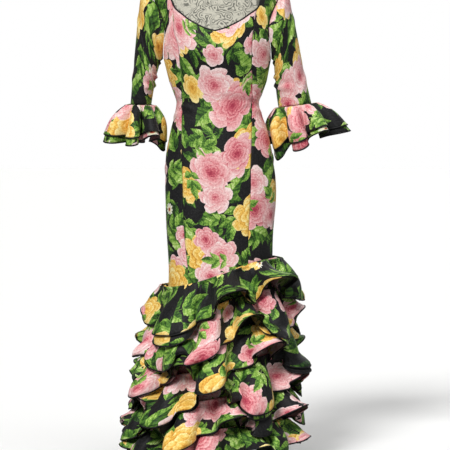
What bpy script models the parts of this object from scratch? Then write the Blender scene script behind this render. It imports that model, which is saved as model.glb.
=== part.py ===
"""A fitted flamenco dress worn by a limbless dress form.

The dress is cut in princess panels, closed at the centre back by a concealed zip, with elbow
sleeves that end in double flounces, and six gathered flounces on a flared foundation skirt.
The front faces -Y, +X is the wearer's left, +Z is up, and the floor is z = 0 under the stand.
Units are metres.
"""

import math

import bmesh
import bpy
import numpy as np
from mathutils import Matrix, Vector

# ---------------------------------------------------------------- driving sizes
CLOTH = 0.0016  # wall of the printed cloth
SEAM_GAP = 0.0006  # parting between two sewn pieces
LIFT = 0.0012  # parting between a flounce and the panels that it lies on
SKIRT_LIFT = 0.0008  # the same on the foundation skirt
EASE = 0.004  # room between the cloth and the form
SHOULDER_EASE = 0.0030  # the cloth rests on the form's shoulders
ARM_PLATE_EASE = 0.0080  # more room at the form's sides, inside the armholes
ROUNDING = 0.85  # under 1 flattens the front and the back of a section

HEM_Z = 0.070  # lowest edge of the foundation skirt
PANEL_HEM_Z = 0.497  # where the panels meet the foundation skirt
ARMPIT_Z = 1.270
SHOULDER_TIP_Z = 1.487
NECK_POINT_Z = 1.510

BUST_Z = 1.300
BUST_REACH = 0.016
BUST_FLAT = 0.070  # half the width over which the cloth spans the bust
BUST_FADE = 0.052
BUST_TALL = 0.070
BUST_DIP = 0.004  # hollow between the two cups
BUST_DIP_WIDE = 0.030

# The figure under the cloth, one row for each level.
FIGURE_COLUMNS = ("height", "middle", "half_width", "front", "back")
FIGURE = (
    (0.010, -0.012, 0.206, 0.196, 0.212),
    (0.200, -0.006, 0.191, 0.176, 0.192),
    (0.400, 0.003, 0.173, 0.147, 0.163),
    (0.542, 0.007, 0.163, 0.128, 0.146),
    (0.605, 0.008, 0.162, 0.122, 0.141),
    (0.699, 0.006, 0.165, 0.118, 0.140),
    (0.857, 0.009, 0.173, 0.116, 0.143),
    (0.945, 0.005, 0.1685, 0.112, 0.133),
    (1.046, 0.003, 0.150, 0.104, 0.106),
    (1.084, 0.001, 0.1385, 0.100, 0.096),
    (1.131, -0.001, 0.1280, 0.096, 0.089),
    (1.159, 0.000, 0.1370, 0.099, 0.091),
    (1.210, 0.000, 0.1550, 0.104, 0.096),
    (1.247, -0.002, 0.1640, 0.107, 0.100),
    (1.300, -0.003, 0.1700, 0.109, 0.104),
    (1.360, -0.004, 0.1760, 0.104, 0.105),
    (1.420, -0.005, 0.1900, 0.091, 0.099),
    (1.455, -0.006, 0.1990, 0.081, 0.091),
    (1.475, -0.006, 0.2030, 0.074, 0.084),
    (1.487, -0.006, 0.1990, 0.067, 0.076),
    (1.498, -0.006, 0.1740, 0.061, 0.067),
    (1.510, -0.006, 0.1340, 0.056, 0.060),
    (1.530, -0.006, 0.0800, 0.051, 0.053),
    (1.548, -0.006, 0.0600, 0.053, 0.053),
    (1.600, -0.006, 0.0560, 0.055, 0.055),
)

# Sewing lines of the panels: distance from the figure's middle at each level.
FRONT_LEFT_SEAM = (
    (0.497, -0.092),
    (0.605, -0.101),
    (0.857, -0.118),
    (1.046, -0.116),
    (1.131, -0.112),
    (1.210, -0.114),
    (1.300, -0.120),
    (1.360, -0.134),
    (1.450, -0.137),
)
FRONT_RIGHT_SEAM = (
    (0.497, 0.084),
    (0.605, 0.086),
    (0.857, 0.093),
    (1.046, 0.103),
    (1.131, 0.107),
    (1.210, 0.107),
    (1.300, 0.109),
    (1.360, 0.114),
    (1.426, 0.1275),
)
BACK_SEAM = (
    (0.497, 0.086),
    (0.700, 0.084),
    (0.900, 0.082),
    (1.131, 0.066),
    (1.250, 0.082),
    (1.360, 0.100),
    (1.478, 0.119),
)
# Half the width of the neck opening at each level.
FRONT_NECK = (
    (1.3545, 0.000),
    (1.3625, 0.030),
    (1.3760, 0.060),
    (1.3900, 0.085),
    (1.4080, 0.107),
    (1.4260, 0.1275),
    (1.4500, 0.1370),
    (1.4800, 0.1420),
    (1.4980, 0.1400),
    (1.5100, 0.1340),
)
BACK_NECK = (
    (1.446, 0.000),
    (1.448, 0.030),
    (1.455, 0.065),
    (1.465, 0.095),
    (1.478, 0.119),
    (1.498, 0.1320),
    (1.510, 0.1340),
)

# Levels of the panels' points.
BODY_LEVELS = (0.497, 0.560, 0.625, 0.700, 0.790, 0.880, 0.960, 1.050, 1.131, 1.200)
ARM_STEPS = 9  # points from the armpit to the shoulder tip
NECK_SHARES = (0.35, 0.62, 0.82, 0.94, 1.0)  # points along the neckline beside a strap
ARMHOLE_FRONT = math.radians(25)  # how far the armhole cuts in
ARMHOLE_BACK = math.radians(21)
ARMHOLE_ROUND = 0.8  # under 1 makes the armhole squarer
FRONT_COLUMNS = 12
SIDE_COLUMNS = 4
BACK_COLUMNS = 6

# Sleeves: the outer and the inner line, seen from the front, and half the depth.
SLEEVE_COLUMNS = ("outer_x", "outer_z", "inner_x", "inner_z", "half_depth", "set_back")
RIGHT_ARM_SLEEVE = (
    (-0.2230, 1.4850, -0.1815, 1.2620, 0.065, 0.000),
    (-0.2390, 1.4640, -0.1850, 1.2520, 0.063, 0.001),
    (-0.2455, 1.4300, -0.1880, 1.2410, 0.061, 0.003),
    (-0.2510, 1.3850, -0.1920, 1.2270, 0.059, 0.006),
    (-0.2560, 1.3300, -0.1960, 1.2100, 0.057, 0.010),
    (-0.2620, 1.2680, -0.2010, 1.1880, 0.055, 0.015),
    (-0.2680, 1.2000, -0.2060, 1.1600, 0.053, 0.021),
    (-0.2745, 1.1240, -0.2120, 1.1240, 0.050, 0.027),
)
LEFT_ARM_SLEEVE = (
    (0.2100, 1.4840, 0.1765, 1.2620, 0.065, 0.000),
    (0.2220, 1.4600, 0.1775, 1.2510, 0.063, 0.001),
    (0.2290, 1.4270, 0.1780, 1.2400, 0.061, 0.003),
    (0.2390, 1.3830, 0.1790, 1.2260, 0.059, 0.006),
    (0.2500, 1.3280, 0.1800, 1.2090, 0.057, 0.010),
    (0.2620, 1.2660, 0.1825, 1.1870, 0.055, 0.015),
    (0.2760, 1.2000, 0.1860, 1.1560, 0.052, 0.021),
    (0.2930, 1.1280, 0.1920, 1.1160, 0.049, 0.027),
)

# Skirt flounces, top to bottom. The sewing line runs from low_seam on the wearer's right to
# high_seam on the wearer's left.
FLOUNCE_COLUMNS = ("low_seam", "high_seam", "length", "lead", "wave", "droop")
FLOUNCES = (
    (0.556, 0.645, 0.122, 0.054, 0.036, 0.24),
    (0.468, 0.555, 0.118, 0.056, 0.037, 0.25),
    (0.376, 0.455, 0.114, 0.058, 0.038, 0.24),
    (0.284, 0.352, 0.110, 0.060, 0.038, 0.24),
    (0.196, 0.246, 0.100, 0.060, 0.038, 0.24),
    (0.118, 0.138, 0.080, 0.060, 0.036, 0.18),
)
# The lobes round each flounce: where each crest stands in degrees from the front, how far it
# reaches and how far it falls, both as shares of the usual.
LOBE_COLUMNS = ("angle", "reach", "fall")
LOBES = (
    (
        (-46, 1.15, 1.05), (10, 0.85, 0.95), (47, 1.45, 0.25), (88, 1.00, 0.85),
        (127, 0.95, 1.00), (168, 1.10, 1.05), (212, 0.95, 0.95), (258, 1.05, 0.90),
    ),
    (
        (-40, 1.10, 1.15), (-1, 1.00, 1.00), (26, 0.80, 0.85), (54, 1.15, 1.00),
        (88, 1.20, 0.80), (124, 1.00, 1.00), (161, 1.10, 0.95), (198, 0.95, 1.05),
        (236, 1.05, 1.00), (275, 1.00, 0.95),
    ),
    (
        (-80, 0.92, 0.86), (-47, 1.10, 1.10), (-23, 0.75, 0.90), (-2, 0.95, 1.10),
        (34, 1.25, 0.45), (68, 1.10, 0.90), (101, 0.95, 1.00), (136, 1.05, 1.05),
        (172, 1.00, 0.95), (209, 1.10, 1.05), (245, 1.00, 1.00),
    ),
    (
        (-94, 1.00, 0.95), (-60, 1.15, 1.05), (-29, 0.95, 1.00), (-3, 0.90, 1.05),
        (35, 1.20, 1.25), (69, 1.05, 1.08), (100, 1.00, 1.12), (134, 1.10, 1.05),
        (171, 1.00, 1.00), (207, 1.05, 0.95), (237, 0.90, 1.00),
    ),
    (
        (-76, 1.15, 1.05), (-47, 0.95, 1.00), (-20, 0.90, 0.95), (10, 0.95, 0.95),
        (38, 1.05, 1.05), (65, 1.00, 0.90), (93, 1.00, 1.00), (125, 1.05, 1.05),
        (158, 1.00, 0.95), (192, 1.10, 1.05), (226, 1.00, 0.95), (256, 0.95, 1.00),
    ),
    (
        (-88, 1.00, 0.95), (-58, 1.10, 1.00), (-30, 0.95, 1.00), (-3, 0.90, 1.00),
        (25, 1.00, 0.95), (53, 1.05, 1.00), (81, 1.00, 0.95), (111, 1.00, 1.00),
        (142, 1.05, 1.00), (174, 0.95, 0.95), (206, 1.05, 1.00), (238, 1.00, 1.00),
    ),
)
LOBE_POINTS = 8  # columns of points to a lobe
FLOUNCE_ROWS = (0.0, 0.42, 1.0)  # share of the length at each row
CREST_SPREAD = 0.50  # widens the crests and narrows the folds between them
LOBE_BULGE = 0.48  # how far a lobe overhangs its neck
LOBES_OPEN = 1.15  # over 1 keeps the lobes narrow near the seam
GRADUAL = 1.7  # how soon a flounce stands off
PLUMB = 1.2  # over 1 keeps a flounce's top nearly level

# Cuff flounces, sewn to the hem of each sleeve in two layers.
CUFF_LENGTH = 0.094
CUFF_LEAD = 0.047
CUFF_WAVE = 0.026
CUFF_DROOP = 0.16
CUFF_UNDER = 1.15  # the under layer's length as a share of the upper one's
CUFF_PARTING = 0.0044  # between the two layers' insides at the hem
CUFF_LOBE_POINTS = 8
CUFF_ROWS = (0.0, 0.42, 1.0)
# Lobes round each cuff, in degrees from its outer side by way of the front.
RIGHT_ARM_LOBES = (
    (4, 1.10, 0.75), (50, 1.05, 0.90), (134, 1.00, 0.85), (214, 1.00, 0.90),
    (287, 0.95, 1.00),
)
LEFT_ARM_LOBES = (
    (6, 1.90, 0.75), (60, 0.80, 0.92), (114, 1.00, 1.08), (230, 0.90, 1.05),
    (300, 1.00, 0.95),
)

# Zip: the slider of the concealed zip at the top of the centre back, and its pull tab.
SLIDER_Z = 1.4260
SLIDER_WIDTH = 0.0086
SLIDER_HEIGHT = 0.0100
SLIDER_THICK = 0.0014
LUG_THICK = 0.0012
LUG_REACH = 0.0058  # from the slider's plate to the outer end of a lug
PIN_OUT = SLIDER_THICK + 0.0036  # from the slider's back to the middle of the pin
PIN_RADIUS = 0.0008
ROD_SIDES = 14
EYE_RADIUS = 0.0013  # hole of the tab
EYE_WALL = 0.0012
TAB_WIDTH = 0.0054
TAB_LENGTH = 0.0260  # from the pin to the tip
TAB_THICK = 0.0012
TAB_TIP = ((1.0, 0.78), (0.72, 0.93), (0.30, 1.0))  # shares of its half width and its length

# Dress form: a limbless torso, closed at the neck, on a pole with a round base.
TORSO_LEVELS = (
    0.745, 0.757, 0.860, 0.960, 1.050, 1.131, 1.200, 1.260, 1.320, 1.380,
    1.430, 1.460, 1.476, 1.487, 1.493, 1.499, 1.505, 1.511, 1.520, 1.532, 1.548,
    1.592, 1.600,
)
TORSO_POINTS = 36
TORSO_ROUNDING = 0.012  # how far its lower and upper edges are drawn in
SHOULDER_FROM = 1.400  # where the ease narrows towards the shoulders, and over what height
SHOULDER_OVER = 0.055
ARM_PLATE = (1.250, 1.495)  # lowest and highest level drawn in beside the armholes
ARM_PLATE_NARROW = 6
FLANGE_RADIUS = 0.055
FLANGE_THICK = 0.006
POLE_RADIUS = 0.016
BOSS_RADIUS = 0.030
BOSS_HEIGHT = 0.020
BOSS_FOOT = 0.001
FLANGE_TAPER = 0.006
BASE_RADIUS = 0.150
BASE_THICK = 0.012
BASE_BEVEL = 0.003
REST_GAP = 0.0003
STAND_SEGMENTS = 28

BINDING_RADIUS = 0.0016
BINDING_GAP = 0.0003

PRINT = ("printed_cloth", (0.235, 0.245, 0.135), 0.62, 0.0)
BIAS = ("black_binding", (0.012, 0.012, 0.012), 0.55, 0.0)
METAL = ("zip_metal", (0.05, 0.05, 0.05), 0.35, 0.8)
LINEN = ("form_linen", (0.58, 0.54, 0.46), 0.80, 0.0)
STEEL = ("stand_steel", (0.10, 0.10, 0.105), 0.40, 0.9)


# ---------------------------------------------------------------- curves and the figure
def smooth_curve(heights, values, at):
    """Cubic through the rows of a table that never overshoots them."""
    heights, values = np.asarray(heights, float), np.asarray(values, float)
    step = np.diff(heights)
    rise = np.diff(values) / step
    slope = np.zeros(len(heights))
    same = rise[:-1] * rise[1:] > 0
    slope[1:-1][same] = 2 / (1 / rise[:-1][same] + 1 / rise[1:][same])
    slope[0], slope[-1] = rise[0], rise[-1]
    at = np.clip(at, heights[0], heights[-1])
    i = np.clip(np.searchsorted(heights, at) - 1, 0, len(step) - 1)
    t = (at - heights[i]) / step[i]
    return (
        (2 * t**3 - 3 * t**2 + 1) * values[i]
        + (t**3 - 2 * t**2 + t) * step[i] * slope[i]
        + (3 * t**2 - 2 * t**3) * values[i + 1]
        + (t**3 - t**2) * step[i] * slope[i + 1]
    )


def column(name, at):
    k = FIGURE_COLUMNS.index(name)
    return smooth_curve([row[0] for row in FIGURE], [row[k] for row in FIGURE], at)


def seam_at(table, at):
    return smooth_curve([row[0] for row in table], [row[1] for row in table], at)


def bust(x, z):
    """How far the cloth stands out over the bust, spanning from cup to cup."""
    aside = np.maximum(np.abs(x) - BUST_FLAT, 0) / BUST_FADE
    rise = (z - BUST_Z) / BUST_TALL
    dip = BUST_DIP * np.exp(-((x / BUST_DIP_WIDE) ** 2))
    return (BUST_REACH * np.exp(-(aside**2)) - dip) * np.exp(-(rise**2))


def figure(theta, z):
    """Point of the figure at angle theta, 0 at the front and 90 degrees at +X, and height z."""
    theta, z = np.broadcast_arrays(np.asarray(theta, float), np.asarray(z, float))
    side = np.cos(theta)
    x = column("half_width", z) * np.sin(theta)
    depth = np.where(side > 0, column("front", z), column("back", z))
    y = -np.sign(side) * depth * np.abs(side) ** ROUNDING
    y = y - bust(x, z) * np.clip(side, 0, 1)
    return np.stack([x + column("middle", z), y, z], axis=-1)


def unit(vectors):
    return vectors / np.linalg.norm(vectors, axis=-1, keepdims=True)


def outward(theta, z, level=False):
    """Unit normal of the figure; level keeps it horizontal."""
    nudge = 1e-4
    around = figure(theta + nudge, z) - figure(theta - nudge, z)
    up = figure(theta, z + nudge) - figure(theta, z - nudge)
    if level:
        up = np.broadcast_to(np.array([0.0, 0.0, 1.0]), around.shape)
    return unit(np.cross(around, up))


def on_figure(theta, z, lift=0.0):
    return figure(theta, z) + outward(theta, z) * np.asarray(lift)[..., None]


def angle_of(x, z, back=0):
    """Angle at which the figure is x from its middle at that height.

    back is 0 in front, -1 on the right half of the back and 1 on its left half.
    """
    theta = np.arcsin(np.clip(x / column("half_width", z), -1, 1))
    return back * math.pi - theta if back else theta


# ---------------------------------------------------------------- Blender helpers
def clear_scene():
    for obj in list(bpy.data.objects):
        bpy.data.objects.remove(obj)


def material(finish):
    name, colour, roughness, metallic = finish
    made = bpy.data.materials.get(name)
    if made:
        return made
    made = bpy.data.materials.new(name)
    made.use_nodes = True
    shader = made.node_tree.nodes["Principled BSDF"]
    shader.inputs["Base Color"].default_value = (*colour, 1)
    shader.inputs["Roughness"].default_value = roughness
    shader.inputs["Metallic"].default_value = metallic
    return made


def new_object(name, data, finish):
    obj = bpy.data.objects.new(name, data)
    data.materials.append(material(finish))
    DRESS.objects.link(obj)
    return obj


def loft(name, grid, finish, ring=False, ends=False):
    """A surface through a grid of points, rows upwards and columns anticlockwise from above."""
    rows, columns = grid.shape[:2]
    across = np.arange(columns if ring else columns - 1)
    i, j = np.meshgrid(np.arange(rows - 1), across, indexing="ij")
    right = (j + 1) % columns
    quads = np.stack(
        [i * columns + j, i * columns + right, (i + 1) * columns + right, (i + 1) * columns + j],
        axis=-1,
    )
    faces = quads.reshape(-1, 4).tolist()
    if ends:
        faces.append(list(range(columns))[::-1])
        faces.append(list(range((rows - 1) * columns, rows * columns)))
    mesh = bpy.data.meshes.new(name)
    mesh.from_pydata(grid.reshape(-1, 3).tolist(), [], faces)
    mesh.shade_smooth()
    return new_object(name, mesh, finish)


def cloth(name, grid, ring=False, finish=PRINT):
    """A wall of cloth whose inside is the grid."""
    obj = loft(name, grid, finish, ring)
    wall = obj.modifiers.new("wall", "SOLIDIFY")
    wall.thickness = CLOTH
    wall.offset = 1.0
    return obj


def trim(grid, left=0.0, right=0.0, bottom=0.0, top=0.0):
    """Draws the borders of a grid inwards by these distances, along the surface."""
    grid = grid.copy()
    grid[:, 0] += unit(grid[:, 1] - grid[:, 0]) * left
    grid[:, -1] += unit(grid[:, -2] - grid[:, -1]) * right
    grid[0] += unit(grid[1] - grid[0]) * bottom
    grid[-1] += unit(grid[-2] - grid[-1]) * top
    return grid


# ---------------------------------------------------------------- body panels
def armhole_levels():
    """Heights from the armpit to the shoulder tip, closer together at both ends."""
    turn = np.linspace(math.pi, 0, ARM_STEPS + 1)
    return ARMPIT_Z + (SHOULDER_TIP_Z - ARMPIT_Z) * (1 + np.cos(turn)) / 2


def armhole_angle(z, cut):
    """Angle of the armhole's edge; cut is how far it bends in from the side."""
    share = np.clip((z - ARMPIT_Z) / (SHOULDER_TIP_Z - ARMPIT_Z), 0, 1)
    return math.pi / 2 - cut * np.sin(math.pi * share) ** ARMHOLE_ROUND


def inner_levels(meeting):
    """Heights on a princess seam up to where it meets the neckline, then along the neckline."""
    seam = np.linspace(BODY_LEVELS[-1], meeting, ARM_STEPS + 2 - len(NECK_SHARES))[1:]
    neck = meeting + (NECK_POINT_Z - meeting) * np.array(NECK_SHARES)
    return np.concatenate([BODY_LEVELS, seam, neck])


def meeting_index():
    return len(BODY_LEVELS) + ARM_STEPS - len(NECK_SHARES)


def side_panel(seam, neck, side, back):
    """Angles and heights of a panel from its princess seam out to the side and the armhole."""
    meeting = seam[-1][0]
    z_in = inner_levels(meeting)
    z_out = np.concatenate([BODY_LEVELS, armhole_levels()])
    half = np.where(z_in <= meeting, np.abs(seam_at(seam, z_in)), seam_at(neck, z_in))
    outer = armhole_angle(z_out, ARMHOLE_BACK if back else ARMHOLE_FRONT)
    outer_half = column("half_width", z_out) * np.sin(outer)
    share = np.linspace(0, 1, SIDE_COLUMNS + 1)
    z = z_in[:, None] + (z_out - z_in)[:, None] * share
    inner = angle_of(half, z_in)
    theta = inner[:, None] + (outer - inner)[:, None] * share
    across = half[:, None] + (outer_half - half)[:, None] * share
    upper = len(BODY_LEVELS) + 1
    theta[upper:-1, 1:-1] = angle_of(across, z)[upper:-1, 1:-1]
    theta[-1] = math.pi / 2
    theta = side * (math.pi - theta if back else theta)
    if (side < 0) != back:
        return theta[:, ::-1], z[:, ::-1]
    return theta, z


def centre_panel(low_end, high_end, columns, seams, neck, back):
    """Angles and heights of a panel between two sewing lines, its top edge on the neckline."""
    share = np.linspace(0, 1, columns + 1)
    low_seam, high_seam = seams
    top_x = low_end[1] + (high_end[1] - low_end[1]) * share
    neck_x = [row[1] for row in neck]
    level = neck_x.index(max(neck_x))
    top_z = np.interp(np.abs(top_x), neck_x[: level + 1], [row[0] for row in neck[: level + 1]])
    top_z[0], top_z[-1] = low_end[0], high_end[0]
    levels = [inner_levels(end[0])[: meeting_index() + 1] for end in (low_end, high_end)]
    up = [(z - PANEL_HEM_Z) / (z[-1] - PANEL_HEM_Z) for z in levels]
    climb = up[0][:, None] * (1 - share) + up[1][:, None] * share
    z = PANEL_HEM_Z + (top_z - PANEL_HEM_Z) * climb
    z[:, 0], z[:, -1] = levels
    x = low_seam(z) * (1 - share) + high_seam(z) * share
    theta = angle_of(x, z, back)
    if back:
        return theta[:, ::-1], z[:, ::-1]
    return theta, z


def body_panels():
    """Cuts and places the seven panels; returns the neck opening and the centre back seam."""
    left, right, mid = FRONT_LEFT_SEAM, FRONT_RIGHT_SEAM, (BACK_NECK[0][0], 0.0)
    end = BACK_SEAM[-1]
    front = centre_panel(
        left[-1], right[-1], FRONT_COLUMNS,
        (lambda z: seam_at(left, z), lambda z: seam_at(right, z)), FRONT_NECK, 0,
    )
    back_right = centre_panel(
        (end[0], -end[1]), mid, BACK_COLUMNS,
        (lambda z: -seam_at(BACK_SEAM, z), np.zeros_like), BACK_NECK, -1,
    )
    back_left = centre_panel(
        mid, end, BACK_COLUMNS,
        (np.zeros_like, lambda z: seam_at(BACK_SEAM, z)), BACK_NECK, 1,
    )
    front_right_side = side_panel(left, FRONT_NECK, -1, False)
    front_left_side = side_panel(right, FRONT_NECK, 1, False)
    back_right_side = side_panel(BACK_SEAM, BACK_NECK, -1, True)
    back_left_side = side_panel(BACK_SEAM, BACK_NECK, 1, True)
    half_gap = SEAM_GAP / 2
    for name, panel, top in (
        ("front_centre_panel", front, 0.0),
        ("back_centre_right_panel", back_right, 0.0),
        ("back_centre_left_panel", back_left, 0.0),
        ("front_right_panel", front_right_side, half_gap),
        ("front_left_panel", front_left_side, half_gap),
        ("back_right_panel", back_right_side, half_gap),
        ("back_left_panel", back_left_side, half_gap),
    ):
        cloth(name, trim(figure(*panel), half_gap, half_gap, half_gap, top))
    corner = meeting_index()
    theta, z = (
        np.concatenate([
            front[k][-1, :-1],
            front_left_side[k][corner:-1, 0],
            back_left_side[k][corner + 1:, -1][::-1],
            back_left[k][-1, :-1],
            back_right[k][-1, :-1],
            back_right_side[k][corner:-1, 0],
            front_right_side[k][corner + 1:, -1][::-1],
        ])
        for k in (0, 1)
    )
    return (theta, z), figure(back_left[0][:, -1], back_left[1][:, -1])


def foundation_skirt():
    """The flared skirt that carries the flounces, a front and a back half."""
    levels = np.linspace(HEM_Z, PANEL_HEM_Z, 5)
    for name, start in (("skirt_front", -math.pi / 2), ("skirt_back", math.pi / 2)):
        theta = start + np.linspace(0, math.pi, 15)
        grid = figure(theta[None, :], levels[:, None])
        half_gap = SEAM_GAP / 2
        cloth(name, trim(grid, half_gap, half_gap, 0.0, half_gap))


# ---------------------------------------------------------------- sleeves
def armhole_ring(side):
    """The armhole's edge from the shoulder tip over the front to the armpit and up the back."""
    up = armhole_levels()
    front = armhole_angle(up, ARMHOLE_FRONT)[::-1]
    back = math.pi - armhole_angle(up, ARMHOLE_BACK)
    theta = np.concatenate([front, back[1:-1]])
    z = np.concatenate([up[::-1], up[1:-1]])
    return on_figure(side * theta, z, CLOTH + 2 * SEAM_GAP)


def sleeve_rings(table):
    """Rings of the sleeve, from the armhole down to its hem."""
    side = math.copysign(1, table[0][0])
    turn = np.linspace(0, 2 * math.pi, 2 * ARM_STEPS, endpoint=False)
    rings = [armhole_ring(side)]
    for values in table:
        row = dict(zip(SLEEVE_COLUMNS, values))
        outer = np.array([row["outer_x"], row["set_back"], row["outer_z"]])
        inner = np.array([row["inner_x"], row["set_back"], row["inner_z"]])
        across = (outer - inner) / 2
        ahead = np.array([0, -row["half_depth"], 0])
        middle = (outer + inner) / 2
        rings.append(middle + np.outer(np.cos(turn), across) + np.outer(np.sin(turn), ahead))
    return np.array(rings)


def facing_out(rings, side):
    """Puts rings that run down a limb into the order that a loft expects."""
    return rings[::-1] if side < 0 else rings


def sleeve(name, table):
    side = math.copysign(1, table[0][0])
    cloth(name, facing_out(trim(sleeve_rings(table), top=SEAM_GAP / 2), side), ring=True)


# ---------------------------------------------------------------- flounces
def round_table(turns, values, at):
    """Smooth closed curve through one value for each whole turn."""
    count = len(values)
    base = np.floor(at).astype(int)
    t = at - base
    rows = np.asarray(values, float)
    before, here, after, beyond = (rows[(base + k) % count] for k in (-1, 0, 1, 2))
    whole = (base // count) * turns
    before = before + whole - turns * (base % count == 0)
    here = here + whole
    after = after + whole + turns * (base % count == count - 1)
    beyond = beyond + whole + turns * (base % count >= count - 2)
    return 0.5 * (
        2 * here
        + (after - before) * t
        + (2 * before - 5 * here + 4 * after - beyond) * t**2
        + (3 * here - before - 3 * after + beyond) * t**3
    )


def lobe_curve(lobes, points):
    """Angle, wave, reach and fall at each column round a flounce."""
    at = np.arange(len(lobes) * points) / points
    table = dict(zip(LOBE_COLUMNS, zip(*lobes)))
    angles = table["angle"]
    middle = np.radians(round_table(360.0, angles, at))
    nudge = 0.01
    pitch = np.radians(
        round_table(360.0, angles, at + nudge) - round_table(360.0, angles, at - nudge)
    ) / (2 * nudge)
    phase = 2 * math.pi * at
    sway = CREST_SPREAD * np.sin(phase) + LOBE_BULGE * np.sin(2 * phase)
    sway = sway * pitch / (2 * math.pi)
    crest = np.cos(phase)
    reach = round_table(0.0, table["reach"], at)
    fall = round_table(0.0, table["fall"], at)
    return middle, sway, crest, reach, fall


def stand_off(v, lead, wave, crest, reach):
    """How far a flounce stands off what it is sewn to."""
    up = np.maximum(crest, 0)
    rising = 1 - np.maximum(1 - v, 0) ** GRADUAL
    return lead * rising + wave * v**LOBES_OPEN * (crest + (reach - 1) * up)


def falls(v, length, droop, crest, fall):
    """How far down a flounce's point is from its seam."""
    up = np.maximum(crest, 0)
    return length * v**PLUMB * (1 + v * (droop * crest + (fall - 1) * up))


def skirt_flounce(name, values, lobes):
    row = dict(zip(FLOUNCE_COLUMNS, values))
    low, high = row["low_seam"], row["high_seam"]
    lift = LIFT if high > PANEL_HEM_Z else SKIRT_LIFT
    middle, sway, crest, reach, fall = lobe_curve(lobes, LOBE_POINTS)
    grid = []
    for v in FLOUNCE_ROWS[::-1]:
        theta = middle + sway * v**LOBES_OPEN
        rise = 0.5 + 0.5 * np.sin(theta)
        seam = low + (high - low) * rise * rise * (3 - 2 * rise)
        z = seam - falls(v, row["length"], row["droop"], crest, fall)
        off = CLOTH + lift + stand_off(v, row["lead"], row["wave"], crest, reach)
        grid.append(figure(theta, z) + outward(theta, z, level=True) * off[:, None])
    cloth(name, np.array(grid), ring=True)


def ring_point(ring, turn):
    """Point of a closed ring at a turn of 0 to 1 from its first point."""
    closed = np.vstack([ring, ring[:1]])
    at = (turn % 1.0) * len(ring)
    return np.stack([np.interp(at, np.arange(len(closed)), closed[:, k]) for k in range(3)], axis=-1)


def cuff_surface(table, lobes, rows):
    """Grid of a cuff flounce below the hem of its sleeve, rows downwards."""
    rings = sleeve_rings(table)
    ring = rings[-1]
    centre = ring.mean(axis=0)
    lean = unit(centre - rings[-3].mean(axis=0))
    middle, sway, crest, reach, fall = lobe_curve(lobes, CUFF_LOBE_POINTS)
    grid = []
    for v in rows:
        v = np.full(len(crest), v)
        turn = (middle + sway * v**LOBES_OPEN) / (2 * math.pi)
        seam = ring_point(ring, turn)
        away = seam - centre
        away = unit(away - np.outer(away @ lean, lean))
        off = stand_off(v, CUFF_LEAD, CUFF_WAVE, crest, reach)
        drop = falls(v, CUFF_LENGTH, CUFF_DROOP, crest, fall)
        grid.append(seam + away * off[:, None] + lean * drop[:, None])
    return np.array(grid), lean


def grid_normals(grid):
    """Outward normals of a closed grid whose rows run down a limb."""
    down = np.gradient(grid, axis=0)
    around = np.roll(grid, -1, axis=1) - np.roll(grid, 1, axis=1)
    return unit(np.cross(around, down))


def cuff_flounces(side_name, table, lobes):
    side = math.copysign(1, table[0][0])
    rows = CUFF_ROWS + (CUFF_UNDER,)
    grid, lean = cuff_surface(table, lobes, rows)
    normals = grid_normals(grid) * side
    under = grid + lean * (CLOTH + SEAM_GAP / 2)
    cloth(f"cuff_{side_name}_under_flounce", facing_out(under, side), ring=True)
    normals[0] = unit(normals[0] - np.outer(normals[0] @ lean, lean))
    lift = CLOTH + LIFT + (CUFF_PARTING - CLOTH - LIFT) * np.array(CUFF_ROWS)
    upper = grid[:-1] + normals[:-1] * lift[:, None, None]
    cloth(f"cuff_{side_name}_upper_flounce", facing_out(upper, side), ring=True)


# ---------------------------------------------------------------- binding, zip and form
def tube(name, points, radius, finish):
    """A closed six-sided tube along a ring of points."""
    curve = bpy.data.curves.new(name, "CURVE")
    curve.dimensions = "3D"
    curve.bevel_depth = radius
    curve.bevel_resolution = 1
    line = curve.splines.new("POLY")
    line.points.add(len(points) - 1)
    for point, place in zip(line.points, points):
        point.co = (*place, 1)
    line.use_cyclic_u = True
    return new_object(name, curve, finish)


def neck_binding(theta, z):
    """A cord of bias binding that caps the cloth round the neck opening."""
    edge = on_figure(theta, z, CLOTH / 2)
    along = unit(np.roll(edge, -1, axis=0) - np.roll(edge, 1, axis=0))
    over = unit(np.cross(outward(theta, z), along))
    over *= np.sign(over[:, 2].sum())
    tube("neck_binding", edge + over * (BINDING_RADIUS + BINDING_GAP), BINDING_RADIUS, BIAS)


def block(name, low, high, finish):
    """A box between two corners given from its object's origin."""
    low, high = Vector(low), Vector(high)
    shape = bmesh.new()
    bmesh.ops.create_cube(shape, size=1.0)
    bmesh.ops.scale(shape, vec=high - low, verts=shape.verts)
    bmesh.ops.translate(shape, vec=(high + low) / 2, verts=shape.verts)
    return from_bmesh(name, shape, finish)


def rod(name, radius, half_length, middle, finish):
    """A cylinder along X about a middle given from its object's origin."""
    shape = bmesh.new()
    bmesh.ops.create_cone(
        shape, cap_ends=True, segments=ROD_SIDES, radius1=radius, radius2=radius,
        depth=2 * half_length, matrix=Matrix.Translation(middle) @ Matrix.Rotation(math.pi / 2, 4, "Y"),
    )
    return from_bmesh(name, shape, finish)


def from_bmesh(name, shape, finish):
    mesh = bpy.data.meshes.new(name)
    shape.to_mesh(mesh)
    shape.free()
    return new_object(name, mesh, finish)


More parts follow.
